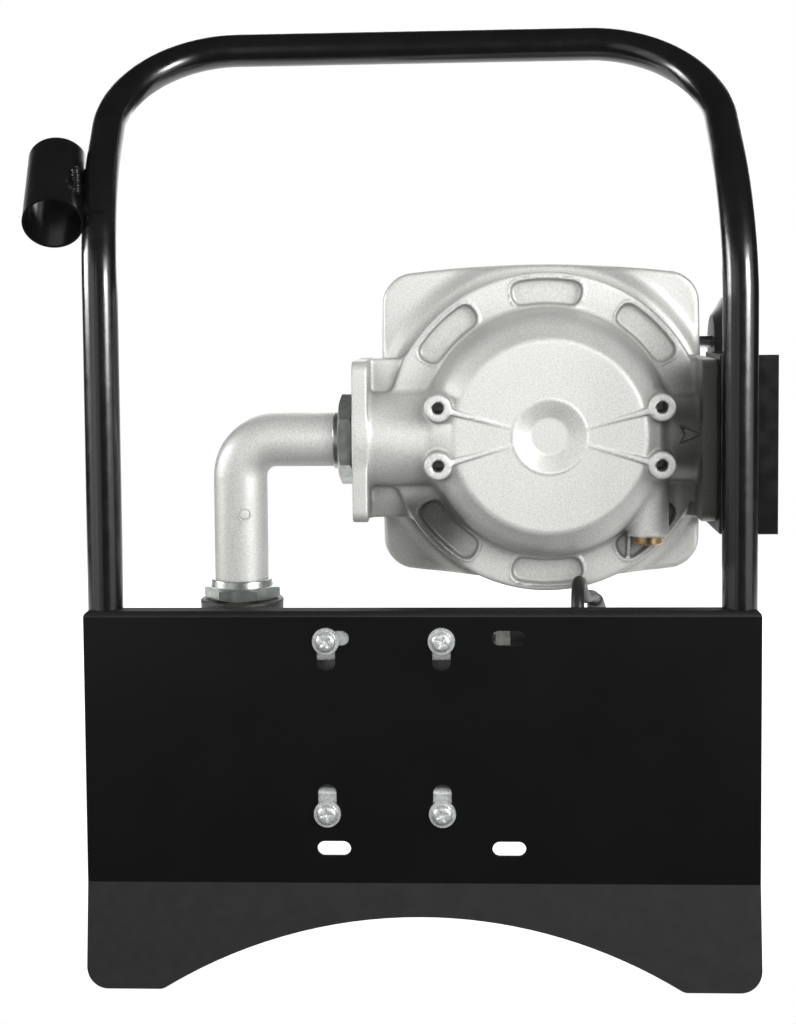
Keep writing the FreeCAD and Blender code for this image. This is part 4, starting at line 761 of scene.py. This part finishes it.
def swayed(points):
    """Leans the loop to the left and lifts its right side by up to 1.8 mm, both times a soft
    step of the height above the knees."""
    rise = soft_step((points[:, 2] - SWAY_START) / SWAY_HEIGHT)
    lift = LIFT_MIDDLE + points[:, 0] / LIFT_ARM
    return points + np.stack([-SWAY_LEFT * rise, 0 * rise, lift * rise], 1)


line = swayed(rounded_line(HANDLE_LINE))
points, faces = tube(line, TUBE_RADIUS)
show("handle_loop", points, faces, "black_paint", stands_for=["handle_tube"])
steps = np.linalg.norm(np.diff(line, axis=0), axis=1)
print("handle line is", round(float(steps.sum())), "mm long")

# %% [markdown]
# Behind the meter body sits the housing of the counter, a second casting from the same shop. It
# is nearly square, but its sides bulge a little and its corners are round. A low round step
# with a sloping side carries the meter body. The same tools make it, with a coarser grid
# because it has no fine ribs.

# %% Counter housing
CASE_X = 75.5
CASE_Z = 330.0
CASE_LOW = (-26.5, 92.1, 229.5)
CASE_HIGH = (177.5, 145.9, 430.5)
CASE_HALF = (101.6, 100.0)
CASE_CORNER = 17.0
CASE_BULGE = (1.2, 7.0)
CASE_CELL = 1.9
STEP_RADIUS = 104.0
STEP_BACK_Y = 100.0
HOLLOW_RADIUS = 86.0
HOLLOW_Y = 104.0
SPINDLE_HOLE_RADIUS = 5.0
KNOB_BORE_RADIUS = 4.2
KNOB_Y = 125.5
KNOB_RISE = 49.5
SCREW_SPOTS = [(CASE_X + a * 82.0, CASE_Z + b * 79.0) for a in (-1, 1) for b in (-1, 1)]
SCREW_HOLE_RADIUS = 2.3
SCREW_HOLE_Y = 126.0


def crowned_square(dx, dz):
    """A square with round corners. Each side bulges by a parabola of the other direction."""
    qx = np.abs(dx) + CASE_BULGE[0] * (dz / 93.0) ** 2 - (CASE_HALF[0] - CASE_CORNER)
    qz = np.abs(dz) + CASE_BULGE[1] * (dx / 100.4) ** 2 - (CASE_HALF[1] - CASE_CORNER)
    outside = np.hypot(np.maximum(qx, 0), np.maximum(qz, 0))
    return outside + np.minimum(np.maximum(qx, qz), 0) - CASE_CORNER


def case_form(x, y, z):
    """The crowned block with its conical step, less the round hollow that holds the wheels,
    the hole of the meter's spindle, the bore of the reset knob and four screw holes."""
    r = np.hypot(x - METER_X, z - METER_Z)
    slope = 0.707 * (r - STEP_RADIUS) - 0.707 * (y - BACK_Y)
    step = smooth_inside(slope, CASE_LOW[1] - y, 2.0)
    form = smooth_union(step, STEP_BACK_Y - y, 3.0)
    form = smooth_inside(form, crowned_square(x - CASE_X, z - CASE_Z), 3.5)
    form = np.maximum(form, y - CASE_HIGH[1])
    hollow = np.maximum(np.hypot(x - CASE_X, z - CASE_Z) - HOLLOW_RADIUS, HOLLOW_Y - y)
    form = np.maximum(form, -hollow)
    form = np.maximum(form, SPINDLE_HOLE_RADIUS - r)
    off_knob = np.hypot(y - KNOB_Y, z - CASE_Z - KNOB_RISE)
    form = np.maximum(form, -np.maximum(off_knob - KNOB_BORE_RADIUS, CASE_X - x))
    for a, b in SCREW_SPOTS:
        outside = SCREW_HOLE_RADIUS - np.hypot(x - a, z - b)
        form = np.maximum(form, np.minimum(outside, y - SCREW_HOLE_Y))
    return form


cast("counter_casting", case_form, CASE_LOW, CASE_HIGH, "cast_aluminium", ["register_case"],
     CASE_CELL)

# %% [markdown]
# Four pan head screws hold the motor's rails to the plate. On the real part each head is a flat
# dome with a cross recess, and no two recesses point the same way. A boolean cut would leave
# sharp edges that catch no light. Here the head is one turned profile on a polar grid, and the
# recess is a depth that depends on the place on the grid, so its edges are soft.

# %% Pan head screws
SCREW_X = (-55.8, 12.5)
SCREW_Z = (207.4, 104.0)
RECESS_TURNS = (0.72, 0.2, 1.1, 0.45)
HEAD_PROFILE = [
    (-5.4, 0), (-5.4, 0.5), (-5.4, 1.0), (-5.4, 1.5), (-5.39, 2.0), (-5.37, 2.5), (-5.34, 2.9),
    (-5.28, 3.3), (-5.2, 3.7), (-5.05, 4.15), (-4.85, 4.6), (-4.5, 5.1), (-4.05, 5.5),
    (-3.5, 5.8), (-2.8, 6.0), (-1.9, 6.1), (-1.6, 6.0), (-1.6, 3.0), (13.9, 3.0), (14.4, 2.5),
    (14.4, 0),
]
FRONT_Y = -4.9


def turned_grid(radius, sides):
    """Radius and angle at each point of a grid with one row for each radius."""
    angle = np.linspace(0, 2 * math.pi, sides, endpoint=False)
    return np.meshgrid(radius, angle, indexing="ij")


def pan_head(x, z, turn, sides=72):
    """A turned profile whose front sinks by a cross. Each arm of the cross narrows outwards
    and is deepest inside."""
    along, radius = np.array(HEAD_PROFILE).T
    r, a = turned_grid(radius, sides)
    sunk = np.zeros_like(r)
    for arm in (turn, turn + math.pi / 2):
        u = np.abs(r * np.cos(a - arm))
        v = np.abs(r * np.sin(a - arm))
        inside = soft_step((1.05 - 0.1 * u - v) / 0.45) * soft_step((3.9 - u) / 0.7)
        sunk = np.maximum(sunk, inside * (2.3 - 0.3 * u))
    front = along[:, None] < FRONT_Y
    depth = along[:, None] + np.where(front, sunk, 0)
    points = np.stack([x + r * np.cos(a), depth, z + r * np.sin(a)], 2).reshape(-1, 3)
    return points, grid_faces(len(along), sides)[:, ::-1]


spots = [(x, z) for x in SCREW_X for z in SCREW_Z]
heads = [pan_head(x, z, turn) for (x, z), turn in zip(spots, RECESS_TURNS)]
points, faces = joined(heads)
screws = show("pan_heads", points, faces, "zinc_plate",
              stands_for=["mounting_screws"], sharp=50.0)
screws.data.materials[0] = new_zinc

# %% [markdown]
# Two small marks show how the frame and the elbow were made. The nozzle holder is welded to the
# leg, so a short bead with ripples lies between them: it's the tube maker again, with a radius
# that swells and shrinks along the line. The elbow has the round print of the pin that pushed
# it out of its mould: a thin disc laid on the pipe, with a groove inside its soft rim.

# %% Weld bead and mould print
BEAD_ENDS = ((-202.5, 17.0, 470.0), (-203.5, 18.5, 489.0))
BEAD_RADIUS = 2.6
BEAD_RIPPLES = 6.0
PRINT_PLACE = (-109.0, 277.0)
PRINT_RADII = (0, 0.8, 1.6, 2.3, 2.8, 3.1, 3.3, 3.6, 3.8, 4.0, 4.0, 0)
PRINT_HEIGHTS = (0.5, 0.5, 0.5, 0.5, 0.45, 0.0, -0.1, 0.55, 0.45, 0.0, -1.0, -1.0)
PIPE_AXIS = (-113.0, 62.0)
PIPE_RADIUS = 16.6


def rippled_bead(start, end, radius, ripples):
    """A tube whose radius is the mean one, times a ripple, times a half round at both ends."""
    t = np.linspace(0, 1, 61)[:, None]
    line = np.array(start) * (1 - t) + np.array(end) * t
    swell = 1 + 0.14 * np.sin(2 * math.pi * ripples * t)
    taper = np.sqrt(np.clip(1 - (2 * t - 1) ** 6, 0.01, 1))
    return tube(line, (radius * swell * taper)[:, :, None], sides=20)


def round_print(sides=48):
    """Rings of a disc whose heights are measured from the round pipe. They stand proud inside
    a groove and at the rim, and sink into the pipe at the closed back."""
    r, a = turned_grid(PRINT_RADII, sides)
    x = PRINT_PLACE[0] + r * np.cos(a)
    pipe = PIPE_AXIS[1] - np.sqrt(PIPE_RADIUS ** 2 - (x - PIPE_AXIS[0]) ** 2)
    y = pipe - np.array(PRINT_HEIGHTS)[:, None]
    points = np.stack([x, y, PRINT_PLACE[1] + r * np.sin(a)], 2).reshape(-1, 3)
    return points, grid_faces(len(PRINT_RADII), sides)[:, ::-1]


points, faces = rippled_bead(*BEAD_ENDS, BEAD_RADIUS, BEAD_RIPPLES)
show("holder_weld", points, faces, "black_paint", sharp=0)
points, faces = round_print()
show("elbow_print", points, faces, "cast_aluminium", sharp=0)

# %% [markdown]
# The spring of the bypass valve sits inside the pump, behind the brass cap. It gets shorter when
# the valve lifts, by up to 3 mm of its 17.3. Its coil is made here as a round wire on a helix,
# with a mesh of its own.

# %% Bypass spring
COIL_RADIUS = 4.8
WIRE_RADIUS = 0.8
COIL_TURNS = 4.5

low, high = ((np.array(corner) - PLATE_ORIGIN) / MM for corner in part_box("bypass_spring"))
coil_x, coil_z = (low[0] + high[0]) / 2, (low[2] + high[2]) / 2
t = np.linspace(0, 1, 217)
turn = 2 * math.pi * COIL_TURNS * t
coil_y = low[1] + WIRE_RADIUS + t * (high[1] - low[1] - 2 * WIRE_RADIUS)
across, upward = COIL_RADIUS * np.cos(turn), COIL_RADIUS * np.sin(turn)
helix = np.stack([coil_x + across, coil_y, coil_z + upward], 1)
points, faces = tube(helix, WIRE_RADIUS, sides=14)
coil = show("valve_coil", points, faces, "steel", stands_for=["bypass_spring"])
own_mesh(coil)

# %% [markdown]
# The three number wheels carry the figures 0 to 9. Each figure starts as a flat text, is turned
# into a mesh, and is then wrapped round its wheel: the height on the page becomes an angle. The
# meter turns its wheels forward, so the next figure always waits below the window.

# %% Figures on the wheels
WHEEL_AXIS = (125.5, 379.5)
WHEEL_RADIUS = 18.5
WHEELS = {"hundreds": 54.5, "tens": 75.5, "units": 96.5}
FIGURE_HEIGHT = 9.0
FIGURE_PROUD = 0.12
FIGURE_STEP = math.radians(36.0)
CAP_HEIGHT = 0.72


def flat_figure(text, height):
    """The outline of a text as flat points and faces, in millimetres, centred on zero."""
    data = bpy.data.curves.new("figure", "FONT")
    data.body = text
    data.size = 1.0
    data.resolution_u = 3
    source = bpy.data.objects.new("figure", data)
    bpy.context.scene.collection.objects.link(source)
    mesh = bpy.data.meshes.new_from_object(source)
    points = np.array([tuple(v.co) for v in mesh.vertices])
    faces = [tuple(f.vertices) for f in mesh.polygons]
    bpy.data.objects.remove(source)
    bpy.data.curves.remove(data)
    low, high = points.min(0), points.max(0)
    return (points - (low + high) / 2)[:, :2] * height / CAP_HEIGHT, faces


def wrapped(flat, x, start):
    """The height on the page over the radius is the angle round the wheel. The dial is read
    from behind, where right is -X."""
    angle = start + flat[:, 1] / WHEEL_RADIUS
    r = WHEEL_RADIUS + FIGURE_PROUD
    y = WHEEL_AXIS[0] + r * np.cos(angle)
    z = WHEEL_AXIS[1] + r * np.sin(angle)
    return np.stack([x - flat[:, 0], y, z], 1)


for wheel, x in WHEELS.items():
    figures = []
    for figure in range(10):
        flat, outline = flat_figure(str(figure), FIGURE_HEIGHT)
        figures.append((wrapped(flat, x, -FIGURE_STEP * figure), outline))
    points, faces = joined(figures)
    show(wheel + "_figures", points, faces, "white_plastic", body=wheel + "_drum")

# %% [markdown]
# The studio: a white floor and a white surround, as in a catalogue picture. The camera sees
# them as plain white through the Light Path node. The object itself is lit by a dim sky that
# is a few times brighter in a mirror, for the bare metals. The floor is a real sheet, so it
# keeps the faint shadow of the object.

# %% Studio surround
FLOOR_FRONT = 12.0
FLOOR_BACK = 1800.0
FLOOR_HALF_WIDTH = 1500.0
FLOOR_Z = -0.2
SKY_LOW = 0.08
SKY_HIGH = 0.15
GLOSS_GAIN = 4.0


def seen_rays(tree, *kinds):
    """A socket that is 1 for rays of the given kinds and 0 for the rest."""
    path = tree.nodes.new("ShaderNodeLightPath")
    total = path.outputs[kinds[0]]
    for kind in kinds[1:]:
        total = combined(tree, "MAXIMUM", total, path.outputs[kind])
    return total


def studio_world(level_low, level_high):
    """White to the camera and, behind the object, to metal and glass. Elsewhere a soft dim sky."""
    world = bpy.data.worlds.new("studio")
    bpy.context.scene.world = world
    world.use_nodes = True
    tree = world.node_tree
    sky = tree.nodes["Background"]
    where = tree.nodes.new("ShaderNodeTexCoord")
    split = tree.nodes.new("ShaderNodeSeparateXYZ")
    tree.links.new(where.outputs["Generated"], split.inputs[0])
    soft = between(tree, split.outputs["Z"], -0.4, 0.5, level_low, level_high)
    mirrored = seen_rays(tree, "Is Glossy Ray")
    gain = between(tree, mirrored, 0.0, 1.0, 1.0, GLOSS_GAIN)
    tree.links.new(combined(tree, "MULTIPLY", soft, gain), sky.inputs["Strength"])
    behind = between(tree, split.outputs["Y"], 0.7, 0.97, 0.0, 1.0)
    shiny = combined(tree, "MULTIPLY", behind, mirrored)
    direct = seen_rays(tree, "Is Camera Ray", "Is Transmission Ray")
    paper = tree.nodes.new("ShaderNodeBackground")
    paper.inputs["Color"].default_value = (1, 1, 1, 1)
    mix = tree.nodes.new("ShaderNodeMixShader")
    tree.links.new(combined(tree, "MAXIMUM", shiny, direct), mix.inputs[0])
    tree.links.new(sky.outputs[0], mix.inputs[1])
    tree.links.new(paper.outputs[0], mix.inputs[2])
    tree.links.new(mix.outputs[0], tree.nodes["World Output"].inputs["Surface"])


def staged(name, points, faces, material):
    """A mesh that belongs to the studio and not to the object."""
    mesh = bpy.data.meshes.new(name)
    mesh.from_pydata(place(points), [], faces)
    mesh.materials.append(material)
    piece = bpy.data.objects.new(name, mesh)
    bpy.context.scene.collection.objects.link(piece)
    return piece


def studio_floor():
    """A flat sheet that looks white where it is lit and keeps a faint shadow."""
    corners = [
        (-FLOOR_HALF_WIDTH, FLOOR_FRONT, FLOOR_Z),
        (FLOOR_HALF_WIDTH, FLOOR_FRONT, FLOOR_Z),
        (FLOOR_HALF_WIDTH, FLOOR_BACK, FLOOR_Z),
        (-FLOOR_HALF_WIDTH, FLOOR_BACK, FLOOR_Z),
    ]
    paper = finish("paper_floor", (0.8, 0.8, 0.8), 0.9)
    mottle(paper, (0.79, 0.79, 0.79), (0.81, 0.81, 0.81), 4.0)
    tree = paper.node_tree
    glow = tree.nodes.new("ShaderNodeEmission")
    where = tree.nodes.new("ShaderNodeTexCoord")
    away = tree.nodes.new("ShaderNodeVectorMath")
    away.operation = "LENGTH"
    tree.links.new(where.outputs["Object"], away.inputs[0])
    brightness = between(tree, away.outputs["Value"], 0.25, 0.7, 0.84, 1.0)
    seen = seen_rays(tree, "Is Camera Ray", "Is Glossy Ray", "Is Transmission Ray")
    tree.links.new(combined(tree, "MULTIPLY", brightness, seen), glow.inputs["Strength"])
    both = tree.nodes.new("ShaderNodeAddShader")
    tree.links.new(principled(paper).outputs[0], both.inputs[0])
    tree.links.new(glow.outputs[0], both.inputs[1])
    tree.links.new(both.outputs[0], tree.nodes["Material Output"].inputs["Surface"])
    staged("floor", corners, [(0, 1, 2, 3)], paper)


studio_world(SKY_LOW, SKY_HIGH)
studio_floor()
bpy.context.scene.view_settings.view_transform = "Standard"
print("floor is", 2 * FLOOR_HALF_WIDTH * MM, "m wide")

# %% [markdown]
# Two kinds of lamps light the object. A fill lights the castings but isn't mirrored, so the
# black plate stays black. A shine is only mirrored: small bright ones draw the long streaks on
# the tube and wide dim ones the soft shade beside them. Four thin nets hold light off the
# outlet, the elbow, the dome's right side and the inlet's foot, which are darker in the photo
# than open light would leave them.

# %% Nets and lamps
NETS = {
    "net_by_the_outlet": ((145.5, 28.0, 268.0), (178.0, 28.5, 376.0), 0.2),
    "net_before_the_elbow": ((-145.0, -60.0, 225.0), (-32.0, -59.5, 350.0), 0.78),
    "net_beside_the_dome": ((152.0, -45.0, 245.0), (152.5, 26.0, 410.0), 0.5),
    "net_below_the_inlet": ((-22.0, 40.0, 240.0), (26.0, 40.5, 291.0), 0.12),
}
MIDDLE = (0, 40, 320)
LAMPS = {
    "key_strip": ((951, -867, 600), (0.5, 0.4), 23.0, "shine"),
    "key_fill": ((951, -867, 860), (0.6, 0.9), 4.0, "fill"),
    "left_box": ((-1300, -65, 600), (0.65, 0.4), 14.0, "shine"),
    "left_soft": ((-966, -771, 634), (0.5, 0.8), 1.0, "fill"),
    "left_card": ((-1100, -560, 400), (1.1, 0.9), 0.7, "shine"),
    "near_card": ((-640, -1150, 400), (0.8, 0.9), 0.45, "shine"),
    "right_card": ((1050, -620, 400), (1.0, 0.9), 0.8, "shine"),
    "front": ((60, -1300, 620), (1.2, 0.8), 6.9, "fill"),
    "high_left": ((-388, -793, 1239), (0.6, 0.6), 0.9, "fill"),
    "back": ((0, 1300, 900), (1.6, 1.0), 2.0, "both"),
}


def lamp(name, spot, aim, size, level, kind):
    """A soft rectangular lamp at a spot on the drawing, its size in metres. Level is its
    brightness. A fill isn't mirrored, and a shine is only mirrored."""
    data = bpy.data.lights.new(name, "AREA")
    data.shape = "RECTANGLE"
    data.size, data.size_y = size
    data.energy = level * math.pi * size[0] * size[1]
    lit = bpy.data.objects.new(name, data)
    here, there = Vector(place(spot)), Vector(place(aim))
    lit.location = here
    lit.rotation_mode = "QUATERNION"
    lit.rotation_quaternion = (there - here).to_track_quat("-Z", "Y")
    lit.visible_camera = False
    lit.visible_glossy = kind != "fill"
    lit.visible_diffuse = kind != "shine"
    bpy.context.scene.collection.objects.link(lit)


def scrim(name, low, high, passing):
    """A thin box of net. Light crosses two of its sides, so each side passes the square root
    of the share that gets through. The camera itself can't see it."""
    points = np.where(CORNERS, high, low)
    faces = [(0, 1, 3, 2), (4, 6, 7, 5), (0, 4, 5, 1), (2, 3, 7, 6), (0, 2, 6, 4), (1, 5, 7, 3)]
    cover = 1.0 - math.sqrt(passing)
    net = finish(name, (0.01, 0.01, 0.01), 0.9, Specular_IOR_Level=0.0, Alpha=cover)
    mottle(net, (0.008, 0.008, 0.008), (0.012, 0.012, 0.012), 200.0)
    staged(name, points, faces, net).visible_camera = False


for name, (low, high, passing) in NETS.items():
    scrim(name, low, high, passing)
for name, (spot, size, level, kind) in LAMPS.items():
    lamp(name, spot, MIDDLE, size, level, kind)
print("studio lit by", len(LAMPS), "lamps past", len(NETS), "nets")
